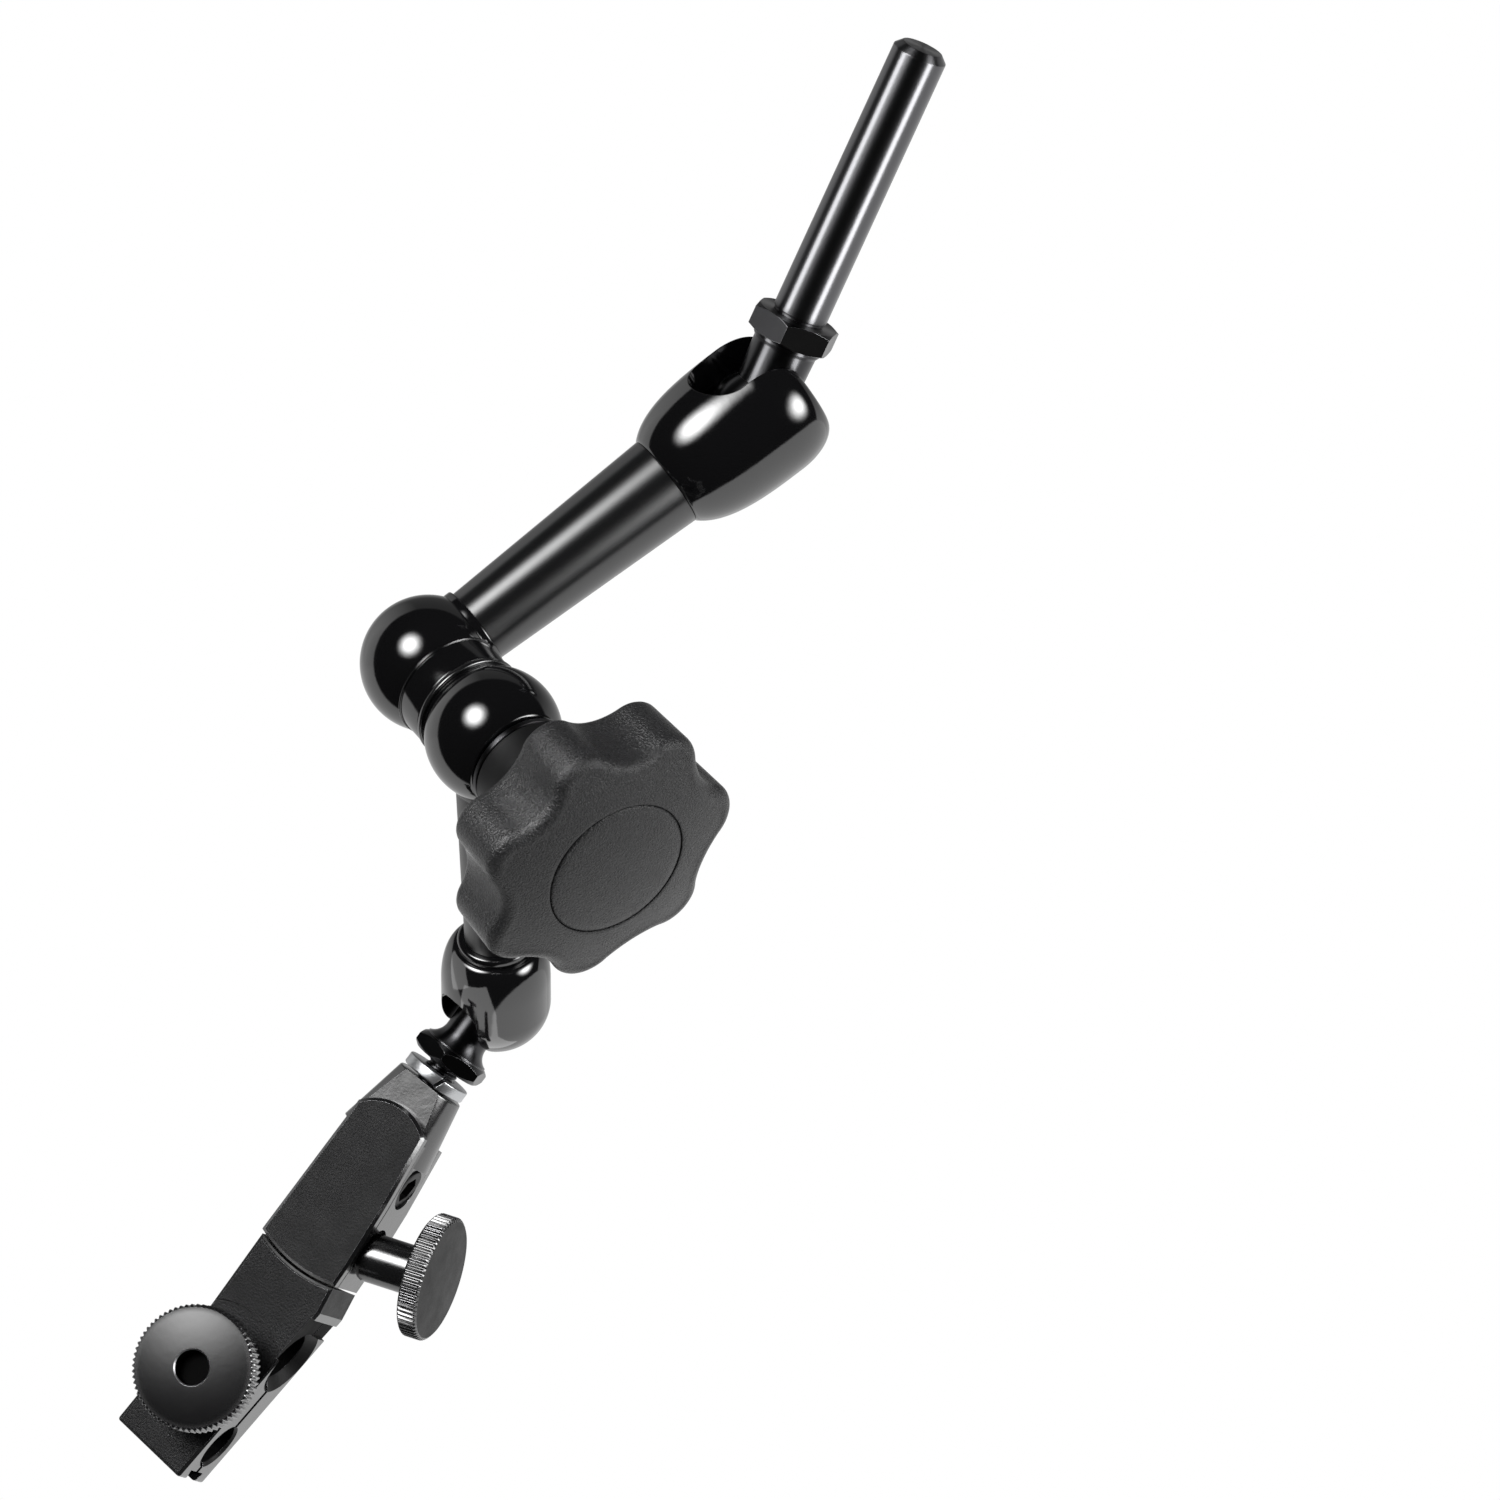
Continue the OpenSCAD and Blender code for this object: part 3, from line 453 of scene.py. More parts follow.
BOSS, BOSS_R = 10.2, 7.4
PLUG_R, PLUG_IN, TUBE_START = 5, 1.6, 13.5
UPPER_WIDE_R, UPPER_THIN_R = 8.2, 6.7
upper_end = ARM_LEN - BOSS
upper_tube = rounded([(0, TUBE_START), (UPPER_WIDE_R - 0.3, TUBE_START),
                      (UPPER_WIDE_R - 0.3, SEAM_AT - 0.05), (UPPER_WIDE_R, SEAM_AT, 0.1),
                      (UPPER_THIN_R, upper_end, 0.15), (PLUG_R, upper_end + 0.02),
                      (PLUG_R, upper_end + PLUG_IN), (0, upper_end + PLUG_IN)])
piece("upper_tube", solid(lathe(upper_tube)), UPPER, "upper_arm", satin, ["upper_tube"])


def boss(start, matrix):
    """Short cylinder on a knuckle that the tube sits on."""
    return solid(lathe(rounded([(0, start), (BOSS_R, start), (BOSS_R, BOSS, 0.3), (0, BOSS)]), segments=128),
                 matrix)


FAR_R, MIDDLE_R, MIDDLE_TOP = 11.55, 9.65, 12.1
BEAD_AT, BEAD_Z, BEAD_R = 9.7, 6.55, 0.24
far_ball = solid(ball(FAR_R, segments=192))
middle = rounded([(0, 0), (MIDDLE_R, 0), (MIDDLE_R, MIDDLE_TOP, 0.25), (0, MIDDLE_TOP)])
shaped(far_ball, "UNION",
       solid(lathe(middle, segments=192)),
       solid(lathe(arc(BEAD_AT, BEAD_Z, BEAD_R, BEAD_R, 0, 337.5, 15), True, 192)),
       boss(0, turn("X", 90)))
piece("far_knuckle", far_ball, ELBOW, "upper_arm", lacquer, ["upper_knuckle"])

# --- elbow stack

piece("friction_ring", solid(ring(r_out=9.9, r_in=6.55, low=12.15, high=13.15, edge=0.35, segments=160)),
      ELBOW, "lower_arm", oxide, ["friction_ring"])

NEAR_R, NEAR_NECK_R, NEAR_DEEP, NEAR_FLAT, CAVITY_R = 11.7, 9.3, 7.4, 7.5, 7.95
near_low, near_high = PITCH - NEAR_DEEP, PITCH + NEAR_FLAT
flat_r = math.sqrt(NEAR_R**2 - NEAR_FLAT**2)
near_profile = ([(0, near_low), (NEAR_NECK_R, near_low)]
                + arc(0, PITCH, NEAR_R, NEAR_R, -math.degrees(math.acos(NEAR_NECK_R / NEAR_R)),
                      math.degrees(math.acos(flat_r / NEAR_R)) - 1.0, 60)
                + [(flat_r - 0.28, near_high), (CAVITY_R, near_high), (CAVITY_R, PITCH + 2), (0, PITCH + 2)])
near_ball = shaped(solid(lathe(near_profile, segments=192)), "UNION", boss(3, relative(ELBOW, LOWER)))
piece("near_knuckle", near_ball, ELBOW, "lower_arm", lacquer, ["lower_knuckle"])
piece("thrust_washer", solid(ring(r_out=9.2, r_in=4.1, low=PITCH + 8.15, high=PITCH + 9.15, edge=0.2)), ELBOW,
      "knob_carrier", turned, ["thrust_washer"])

# --- star knob

LOBES, KNOB_R, LOBE_R, HOLLOW_AT = 7, 24.9, 6.2, 31.0
STEP = 2 * math.pi / LOBES
KNOB_TURN = math.radians(-60)
LOBE_AT = KNOB_R - LOBE_R
HOLLOW_R = math.sqrt(LOBE_AT**2 + HOLLOW_AT**2 - 2 * LOBE_AT * HOLLOW_AT * math.cos(STEP / 2)) - LOBE_R
DOME_TOP, DOME_R, CAP_R = PITCH + 40, 77.0, 13.0
RIM_LOW, HUB_LOW, HUB_R = DOME_TOP - 17.0, PITCH + 9.2, 9.2
FRONT_ROUND, BACK_ROUND, DRAFT = 2.5, 1.6, 0.6
LOBE_STEPS, HOLLOW_STEPS, BACK_STEPS, FRONT_STEPS, DOME_STEPS = 12, 14, 6, 10, 12
CAP_GROOVE, CAP_GROOVE_D, CAP_POCKET = 0.1, 0.45, 3.2


def star(inwards):
    """The star's outline moved inwards: tangent arcs of lobes and hollows."""
    out = []
    reach = math.atan2(HOLLOW_AT * math.sin(STEP / 2), HOLLOW_AT * math.cos(STEP / 2) - LOBE_AT)
    back = reach + math.pi - STEP / 2
    for i in range(LOBES):
        mid = i * STEP + KNOB_TURN
        for k in range(-LOBE_STEPS, LOBE_STEPS + 1):
            a = mid + reach * k / LOBE_STEPS
            out.append((LOBE_AT * math.cos(mid) + (LOBE_R - inwards) * math.cos(a),
                        LOBE_AT * math.sin(mid) + (LOBE_R - inwards) * math.sin(a)))
        low = mid + STEP / 2
        for k in range(1, HOLLOW_STEPS):
            a = low + back + 2 * (math.pi - back) * k / HOLLOW_STEPS
            out.append((HOLLOW_AT * math.cos(low) + (HOLLOW_R + inwards) * math.cos(a),
                        HOLLOW_AT * math.sin(low) + (HOLLOW_R + inwards) * math.sin(a)))
    return out


def dome(x, y):
    """Height of the knob's domed face."""
    return DOME_TOP - DOME_R + math.sqrt(DOME_R**2 - x * x - y * y)


def to_circle(outline, r, share=1):
    """Outline blended towards a circle."""
    out = []
    for x, y in outline:
        s = 1 + (r / math.hypot(x, y) - 1) * share
        out.append((x * s, y * s))
    return out


def knob_skin():
    """Rings from the hub's back face over the rim and the dome to the cap's pocket."""
    rings = [[(x * share, y * share, HUB_LOW) for x, y in to_circle(star(0), HUB_R)] for share in (0.2, 0.97)]
    for r, z in ((HUB_R, HUB_LOW + 0.3), (HUB_R, RIM_LOW - 1), (HUB_R + 0.3, RIM_LOW - 0.3),
                 (HUB_R + 1, RIM_LOW)):
        rings.append([(x, y, z) for x, y in to_circle(star(0), r)])
    for share in (0.6, 0.2):
        rings.append([(x, y, RIM_LOW) for x, y in to_circle(star(BACK_ROUND + DRAFT), HUB_R + 1, share)])
    for k in range(BACK_STEPS + 1):
        a = math.pi / 2 * k / BACK_STEPS
        rings.append([(x, y, RIM_LOW + BACK_ROUND * (1 - math.cos(a)))
                      for x, y in star(DRAFT + BACK_ROUND * (1 - math.sin(a)))])
    rim = [dome(x, y) for x, y in star(FRONT_ROUND)]
    for k in range(FRONT_STEPS + 1):
        a = math.pi / 2 * k / FRONT_STEPS
        rings.append([(x, y, z - FRONT_ROUND * (1 - math.sin(a)))
                      for (x, y), z in zip(star(FRONT_ROUND * (1 - math.cos(a))), rim)])
    for k in range(1, DOME_STEPS + 1):
        rings.append([(x, y, dome(x, y))
                      for x, y in to_circle(star(FRONT_ROUND), CAP_R + 0.3, k / DOME_STEPS)])
    mouth = to_circle(star(0), CAP_R + CAP_GROOVE)
    wall = CAP_R / (CAP_R + CAP_GROOVE)
    rings.append([(x, y, dome(x, y) - CAP_GROOVE) for x, y in mouth])
    rings.append([(x * wall, y * wall, dome(x, y) - CAP_GROOVE_D) for x, y in mouth])
    rings.append([(x * 0.1, y * 0.1, DOME_TOP - CAP_POCKET) for x, y in mouth])
    return skin(rings)


knob = piece("star_knob_body", solid(knob_skin()), ELBOW, "knob", plastic, ["star_knob"])
# Painted shade: the hub and the back face round it, between the knob and the near knuckle, get the dull dark
# finish.
paint(knob, painted_shade, lambda p, n: p.z < RIM_LOW + 0.2 and p.xy.length < HUB_R + 3)
cap_edge, cap_low = CAP_R - 0.06, DOME_TOP - 3.1
cap_profile = ([(0, cap_low), (cap_edge, cap_low), (cap_edge, dome(cap_edge, 0) - 0.35),
                (cap_edge - 0.15, dome(cap_edge, 0) - 0.1), (cap_edge - 0.5, dome(cap_edge - 0.5, 0))]
               + [(r, dome(r, 0)) for r in range(11, 0, -2)] + [(0, DOME_TOP)])
piece("knob_cap_disc", solid(lathe(cap_profile)), ELBOW, "knob", plastic, ["knob_cap"])

# --- lower arm

HEAD_BACK, COLLAR_BACK, SOCKET_DEEP = -12.6, -14.2, -8.9
LOWER_WIDE_R, LOWER_THIN_R, LOWER_PLUG_R = 6.5, 5.25, 4.85
lower_end, lower_plug = LOWER_LEN + COLLAR_BACK, LOWER_LEN - 8.8
lower_tube = rounded([(0, BOSS - PLUG_IN), (PLUG_R, BOSS - PLUG_IN), (PLUG_R, BOSS),
                      (LOWER_WIDE_R, BOSS, 0.1), (LOWER_THIN_R, lower_end, 0.1), (LOWER_PLUG_R, lower_end),
                      (LOWER_PLUG_R, lower_plug), (0, lower_plug)])
piece("lower_tube", solid(lathe(lower_tube)), LOWER, "lower_arm", satin, ["lower_tube"])

RING_R, RING_HOLE_R, RING_SPIGOT_R = 6.5, 4.9, 6.1
head_ring = rounded([(RING_HOLE_R, COLLAR_BACK, 0.2), (RING_R, COLLAR_BACK, 0.6),
                     (RING_R, HEAD_BACK - 0.05, 0.3), (RING_SPIGOT_R, HEAD_BACK),
                     (RING_SPIGOT_R, SOCKET_DEEP), (RING_HOLE_R, SOCKET_DEEP)], True)
piece("head_collar", solid(lathe(head_ring, True)), HEAD, "lower_arm", lacquer, ["socket_collar"])

SMALL_HEAD_R, LOWER_BORE_R, LOWER_SLOT_W = 9.25, 6.25, 9.6
small_head = solid(lathe([(0, HEAD_BACK), (6.4, HEAD_BACK), (6.72, HEAD_BACK + 0.12)]
                         + arc(6.7, -5, SMALL_HEAD_R - 6.7, 7.6, -82, 0, 28)
                         + arc(0, 0, SMALL_HEAD_R, SMALL_HEAD_R, 0, 90, 40)[1:-1] + [(0, SMALL_HEAD_R)],
                         segments=192))
shaped(small_head, "DIFFERENCE", solid(bullet(LOWER_BORE_R, -20)), *swing_slot(LOWER_SLOT_W, 20, 1))
small_head = piece("small_head", small_head, HEAD, "lower_arm", lacquer, ["lower_socket"])

# --- small ball stud with its flange and thread

def helical_thread(r_major, depth, pitch, low, high, segments=64):
    """Screw thread as one surface, closed at both ends."""
    rows = []
    count = int((high - low) / pitch * 8)
    for k in range(count + 1):
        z = low + (high - low) * k / count
        row = []
        for i in range(segments):
            phase = (z / pitch - i / segments) % 1
            r = r_major - depth * min(1.0, max(0.0, abs(phase - 0.5) * 2.6 - 0.3))
            a = 2 * math.pi * i / segments
            row.append((r * math.cos(a), r * math.sin(a), z))
        rows.append(row)
    return skin(rows)


SMALL_BALL_R, SMALL_NECK_R, FILLET = 6.2, 4.0, 2.85
FLANGE_FLATS, FLANGE_LOW, FLANGE_HIGH, FLANGE_TURN, FLANGE_SEAT_R = 12.4, 11.2, 14.3, 34, 5.75
flange_seat = FLANGE_LOW + 0.4
neck_profile = ([(0, -SMALL_BALL_R)] + arc(0, 0, SMALL_BALL_R, SMALL_BALL_R, -88, 49.5, 50)
                + arc(SMALL_NECK_R + FILLET, FLANGE_LOW - FILLET, FILLET, FILLET, 180, 112, 16)
                + [(FLANGE_SEAT_R, FLANGE_LOW + 0.15), (FLANGE_SEAT_R, flange_seat), (0, flange_seat)])
small_stud = joined(
    solid(lathe(neck_profile)),
    hexagon(FLANGE_FLATS, FLANGE_LOW, FLANGE_HIGH, chamfer=1.3, rise=1.0, start=FLANGE_TURN),
    solid(helical_thread(r_major=2.95, depth=0.5, pitch=1.0, low=14.1, high=19.4)))
lower_stud = piece("small_ball_stud", small_stud, STUD, "lower_stud", turned, ["lower_ball_stud"],
                   angle=28)


def split_washer(r_out, r_in, mid, height, gap, gap_at, lean, rise, steps=120):
    """Spring washer: a rounded bar swept round, its gap at gap_at degrees from +X."""
    section = rounded([(r_in, -height / 2, 0.2), (r_out, -height / 2, 0.25), (r_out, height / 2, 0.25),
                       (r_in, height / 2, 0.2)], True)
    rows = []
    half = gap / 2 / r_out
    for k in range(steps + 1):
        t = k / steps
        a = math.radians(gap_at) + half + (2 * math.pi - 2 * half) * t
        row = []
        for r, z in section:
            b = a + math.tan(math.radians(lean)) * z / r
            row.append((r * math.cos(b), r * math.sin(b), mid + z + rise * (t - 0.5)))
        rows.append(row)
    return skin(rows)


washer = split_washer(r_out=5.9, r_in=3.05, mid=16.9, height=2.0, gap=0.6, gap_at=64, lean=25, rise=0.3)
piece("split_washer", solid(washer), CLAMP, "adjuster", zinc, ["lock_washer"], angle=30)

# --- fine adjuster

BACK_Y, BODY_Y, FACE_Y = -6.5, 5.0, 7.3
MID_Y = (BACK_Y + FACE_Y) / 2
LEFT_X, RIGHT_X = -6.5, 9.8
SEAM_X, SEAM_Z, SEAM_R = 1.75, 31.0, 25.0
PIVOT_X, PIVOT_Z, PIVOT_R = 1.75, 43.0, 1.5
CONE_R, CONE_LOW, CONE_FOOT_R, CONE_FOOT_Z = 6.15, 18.4, 8.6, 31
SLOT_LEFT, SLOT_RIGHT, SLOT_W, SLOT_TOP = -3.4, 5.2, 5, 30.6
SIDE_HOLE_R, SIDE_HOLE_Z, SIDE_HOLE_FLOOR = 3.75, 34.9, 4.2
RIGHT_EDGE = [(8.6, 39), (9.6, 50)]
ACROSS, DOWN = turn("Y", 90), turn("X", -90)


def seam_points(x0, x1, steps=28):
    """Points on the seam's arc between the adjuster and the gauge clamp."""
    xs = [x0 + (x1 - x0) * k / steps for k in range(steps + 1)]
    return [(x, SEAM_Z + math.sqrt(SEAM_R**2 - (x - SEAM_X)**2)) for x in xs]


bottom_edge = seam_points(RIGHT_X, LEFT_X)
cone = solid(lathe(rounded([(0, CONE_LOW), (CONE_R, CONE_LOW, 0.35), (CONE_FOOT_R, CONE_FOOT_Z),
                            (0, CONE_FOOT_Z)]), segments=160))
shaped(cone, "INTERSECT", solid(box(-30, 30, BACK_Y, BODY_Y, 0, 60)))
adjuster = solid(slab([(LEFT_X, 27), (7, 27)] + RIGHT_EDGE + bottom_edge, BACK_Y, BODY_Y, 0.35, 0.3))
shaped(adjuster, "UNION", cone)
shaped(adjuster, "DIFFERENCE",
       solid(box(SLOT_LEFT, SLOT_RIGHT, MID_Y - SLOT_W / 2, MID_Y + SLOT_W / 2, SLOT_TOP, 80)),
       solid(rod(PIVOT_R, -30, 30, 48), move(PIVOT_X, 0, PIVOT_Z) @ DOWN),
       solid(rod(SIDE_HOLE_R, 0, 30, 96), move(SIDE_HOLE_FLOOR, MID_Y, SIDE_HOLE_Z) @ ACROSS),
       solid(rod(5.0, -1, 30, 96), relative(CLAMP, FINE)))
piece("adjuster_case", adjuster, CLAMP, "adjuster", oxide, ["adjuster_body"])

COVER_R, COVER_X, COVER_Z = 9.4, 1.0, 33.0
top_left = math.degrees(math.acos((LEFT_X - COVER_X) / COVER_R))
cover_outline = arc(COVER_X, COVER_Z, COVER_R, COVER_R, -top_left, -51, 32) + RIGHT_EDGE + bottom_edge
pad = piece("adjuster_pad", solid(slab(cover_outline, BODY_Y + 0.01, FACE_Y, 0.05, 0.55)), CLAMP, "adjuster",
            blasted, ["adjuster_cover"])
paint(pad, oxide, lambda p, n: n.y < 0.8)

PLUG_OUT_R, PLUG_THICK, PLUG_X = 3.7, 1.5, 6.5
plug = solid(lathe(rounded([(0, 0), (PLUG_OUT_R, 0), (PLUG_OUT_R, PLUG_THICK, 0.2), (0, PLUG_THICK)]),
                   segments=96))
shaped(plug, "DIFFERENCE", hexagon(flats=4.2, low=0.2, high=3.0, chamfer=0.0, rise=0.01))
# The plug gets the dull dark finish: painted shade in the side hole.
piece("hex_plug", plug, CLAMP @ move(PLUG_X * MM, MID_Y * MM, SIDE_HOLE_Z * MM) @ ACROSS, "adjuster", painted_shade,
      ["spring_plug"])

# --- knurled screws

def knurled(low, high, r, teeth, depth, profile_low, profile_high, samples=8):
    """Knurled head: straight rounded teeth between two chamfered rims, then plain rings beyond them."""
    count = teeth * samples
    turns = [2 * math.pi * i / count for i in range(count)]

    def toothed(z, limit):
        row = []
        for i, a in enumerate(turns):
            phase = abs(i % samples / samples - 0.5) * 2
            radius = min(r - depth * min(1.0, max(0.0, phase * 1.7 - 0.35)), limit)
            row.append((radius * math.cos(a), radius * math.sin(a), z))
        return row

    def plain(radius, z):
        return [(radius * math.cos(a), radius * math.sin(a), z) for a in turns]

    rim = [(low, r - 0.62), (low + 0.25, r - 0.25), (low + 0.5, r),
           (high - 0.5, r), (high - 0.25, r - 0.25), (high, r - 0.62)]
    return solid(skin([plain(*at) for at in profile_low] + [toothed(*at) for at in rim]
                      + [plain(*at) for at in profile_high]))


THUMB_R, NECK_R, TEETH, TOOTH, RIM_R = 10.85, 4.25, 68, 0.45, 9.6
FINE_FACE, FINE_HEAD_H, FINE_DOME = 13.9, 4.0, 0.0035
fine_low = FINE_FACE - FINE_HEAD_H
fine_neck = solid(lathe(rounded([(0, -0.6), (3.9, -0.6, 0.2), (NECK_R, 0.1, 0.2), (NECK_R, fine_low + 0.4),
                                 (0, fine_low + 0.4)]), segments=128))
fine_head = knurled(fine_low, FINE_FACE - 0.34, THUMB_R, TEETH, TOOTH,
                    [(1, fine_low), (NECK_R + 0.1, fine_low), (RIM_R, fine_low)],
                    [(r, FINE_FACE - FINE_DOME * r * r) for r in (RIM_R, 9.2, 8, 6.5, 5, 3.5, 2, 0.5)])
fine_screw = piece("fine_thumb_screw", joined(fine_neck, solid(rod(2.4, -5.6, 0)), fine_head), FINE,
                   "fine_knob", oxide, ["fine_screw"], angle=28)
# Painted shade: the fine screw's face gets the dull dark finish, which dims its reflection.
paint(fine_screw, painted_shade, lambda p, n: p.z > FINE_FACE - 0.4 and n.z > 0.9)

LIFT, CLAMP_HEAD_H, CLAMP_DOME = 11.5, 4.7, 70.0
RECESS_R, RECESS_CUT, RECESS_D = 3.0, 0.25, 2.6
clamp_low, recess_floor = LIFT - CLAMP_HEAD_H, LIFT - RECESS_D


def clamp_face(r):
    """Height of the clamp screw's domed face."""
    return LIFT - (CLAMP_DOME - math.sqrt(CLAMP_DOME**2 - r * r))


recess_top = clamp_face(RECESS_R + 0.3)
clamp_head = knurled(clamp_low, clamp_face(9.9), THUMB_R, TEETH, TOOTH,
                     [(0.5, clamp_low), (NECK_R + 0.1, clamp_low), (RIM_R, clamp_low)],
                     [(r, clamp_face(r)) for r in (9.75, 9.4, 8.5, 7.5, 6.5, 5.5, 4.5, 3.7)]
                     + [(RECESS_R + RECESS_CUT, recess_top), (RECESS_R, recess_top - RECESS_CUT),
                        (RECESS_R - 0.02, recess_floor), (1.5, recess_floor - 0.02),
                        (0.3, recess_floor - 0.04)])
clamp_neck = solid(lathe([(0, 1.02), (NECK_R, 1.02), (NECK_R, clamp_low + 0.3), (0, clamp_low + 0.3)]))
clamp_screw = piece("clamp_thumb_screw", joined(clamp_neck, solid(rod(2.45, -13.4, 1.5)), clamp_head),
                    SCREW, "clamp_knob", oxide, ["clamp_screw"], angle=28)
paint(clamp_screw, face, lambda p, n: p.z > LIFT - 1 and n.z > 0.9)
# Painted shade inside the recess, and a painted highlight ring on its chamfer.
paint(clamp_screw, painted_deep_shade, lambda p, n: p.xy.length < RECESS_R and p.z > recess_floor - 0.1)
paint(clamp_screw, bright, lambda p, n: RECESS_R < p.xy.length < RECESS_R + RECESS_CUT and p.z > LIFT - 0.5)
piece("clamp_spacer", solid(ring(r_out=4.65, r_in=2.6, low=0.02, high=1.0, edge=0.15)), SCREW,
      "clamp_carrier", turned, ["clamp_washer"])

# --- gauge clamp

END_Z, CLAMP_LEFT, CLAMP_RIGHT = 52.6, -3.9, 10.9
LARGE_Z, SMALL_Z, SLIT, SCREW_X, SCREW_Z = 26.2, 45.0, 1.2, 3.0, 36.0
LARGE_R, SMALL_R = mounts["large_gauge_bore"]["dims"]["r_mm"], mounts["small_gauge_bore"]["dims"]["r_mm"]
TOP_LEFT, TOP_WIDTH, TOP_STEPS, GAP_R = -6.6, 15.7, 28, SEAM_R + 0.4
TONGUE_LEFT, TONGUE_RIGHT, TONGUE_W, TONGUE_TOP, TONGUE_ROOT = -2.6, 1.7, 4.8, -11.5, 16.5
NOTCH_LOW, NOTCH_HIGH, NOTCH_DEPTH, NOTCH_THROUGH = 17.5, 26.5, 1.2, 20.6
DOVETAIL_MOUTH, DOVETAIL_FLOOR, DOVETAIL_D = 2.5, 3.5, 1.9
SCREW_HOLE_R, SPOT_FACE_R, PIN_HOLE_R = 2.6, 12.6, 1.55
seam_centre = relative(LEVER, CLAMP) @ Vector((SEAM_X, 0, SEAM_Z))
top_xs = [TOP_LEFT + TOP_WIDTH * k / TOP_STEPS for k in range(TOP_STEPS + 1)]
top = [(x, seam_centre.z + math.sqrt(GAP_R**2 - (x - seam_centre.x)**2)) for x in top_xs]
block_outline = top + rounded([top[-1], (10.3, 16, 0.6), (CLAMP_RIGHT, END_Z, 0.5), (CLAMP_LEFT, END_Z, 0.5),
                               (-5, 27.4, 4.0), top[0]])[1:-1]
block = solid(slab(block_outline, BACK_Y, FACE_Y, 0.3, 0.55))
shaped(block, "UNION", solid(box(TONGUE_LEFT, TONGUE_RIGHT, MID_Y - TONGUE_W / 2, MID_Y + TONGUE_W / 2,
                                 TONGUE_TOP, TONGUE_ROOT)))


def gauge_bore(z, r, bevel, left, right):
    """Bore across the block with a countersink at each side, as one cutting tool."""
    wide = r + bevel + 1
    profile = [(0, left - 1), (wide, left - 1), (r, left + bevel), (r, right - bevel), (wide, right + 1),
               (0, right + 1)]
    return solid(lathe(profile, segments=144), move(0, MID_Y, z) @ ACROSS)


dovetail_section = ((-DOVETAIL_MOUTH, END_Z + 1), (DOVETAIL_MOUTH, END_Z + 1), (DOVETAIL_MOUTH, END_Z),
                    (DOVETAIL_FLOOR, END_Z - DOVETAIL_D), (-DOVETAIL_FLOOR, END_Z - DOVETAIL_D),
                    (-DOVETAIL_MOUTH, END_Z))
screw_at = move(SCREW_X, 0, SCREW_Z) @ DOWN
shaped(block, "DIFFERENCE",
       solid(box(CLAMP_RIGHT - NOTCH_DEPTH, 30, MID_Y - 1.5, 30, NOTCH_LOW, NOTCH_HIGH)),
       solid(box(CLAMP_RIGHT - NOTCH_DEPTH + 0.05, 30, -30, 30, NOTCH_LOW - 0.04, NOTCH_THROUGH)),
       gauge_bore(LARGE_Z, LARGE_R, bevel=0.9, left=-5.1, right=9.7),
       gauge_bore(SMALL_Z, SMALL_R, bevel=0.5, left=-4.23, right=10.78),
       solid(box(-20, 20, MID_Y - SLIT / 2, MID_Y + SLIT / 2, LARGE_Z, 80)),
       solid(skin([[(x, MID_Y + y, z) for y, z in dovetail_section] for x in (-20, 20)])),
       solid(rod(SCREW_HOLE_R, -30, 30, 64), screw_at),
       solid(rod(PIN_HOLE_R, -30, 30, 48), DOWN),
       solid(rod(SPOT_FACE_R, FACE_Y - 0.3, 30, 192), screw_at))
clamp_block = piece("gauge_clamp_block", block, LEVER, "gauge_clamp", speckled, ["clamp_block"])
paint(clamp_block, oxide,
      lambda p, n: n.x > 0.8 and p.x > CLAMP_RIGHT - 1 or 0.3 < n.y < 0.9 and p.z < 14)
# Painted shade on the block's inner walls (notch, bores, slit, dovetail), and darker painted shade on the notch
# floor.
paint(clamp_block, painted_shade,
      lambda p, n: (abs(n.y) < 0.9 and abs(n.x) < 0.9 and NOTCH_LOW - 0.1 < p.z < 51
                    and CLAMP_LEFT - 1.5 < p.x < CLAMP_RIGHT - 0.3))
paint(clamp_block, painted_deep_shade,
      lambda p, n: n.x > 0.8 and p.x < CLAMP_RIGHT - 1 and NOTCH_LOW - 0.1 < p.z < NOTCH_HIGH + 0.1)

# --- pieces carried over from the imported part

for names, material, slot in (
        (("upper_push_rod", "lower_push_rod", "tie_bolt", "upper_wedge", "lower_wedge", "bolt_stop_ring",
          "release_springs", "pivot_pin", "return_spring"), steel, "plain_steel"),
        (("upper_ball_seat", "lower_ball_seat", "elbow_bush", "knob_insert"), bronze, "bronze"),
        (("thrust_tip",), zinc, "zinc_washer")):
    for name in names:
        obj = frame["nodes"][name]
        obj.data.materials.clear()
        obj.data.materials.append(material)

# --- studio

# The photo's right, and the way to its camera, in the object's frame.
RIGHT = Vector((0.8055, -0.4290, 0.4070)).normalized()
TOWARD = RIGHT.cross(Vector((-0.2273, 0.4100, 0.8830))).normalized()
UP = TOWARD.cross(RIGHT)


def seen(x, y, z):
    """Direction given as right, up and towards the camera."""
    return (RIGHT * x + UP * y + TOWARD * z).normalized()


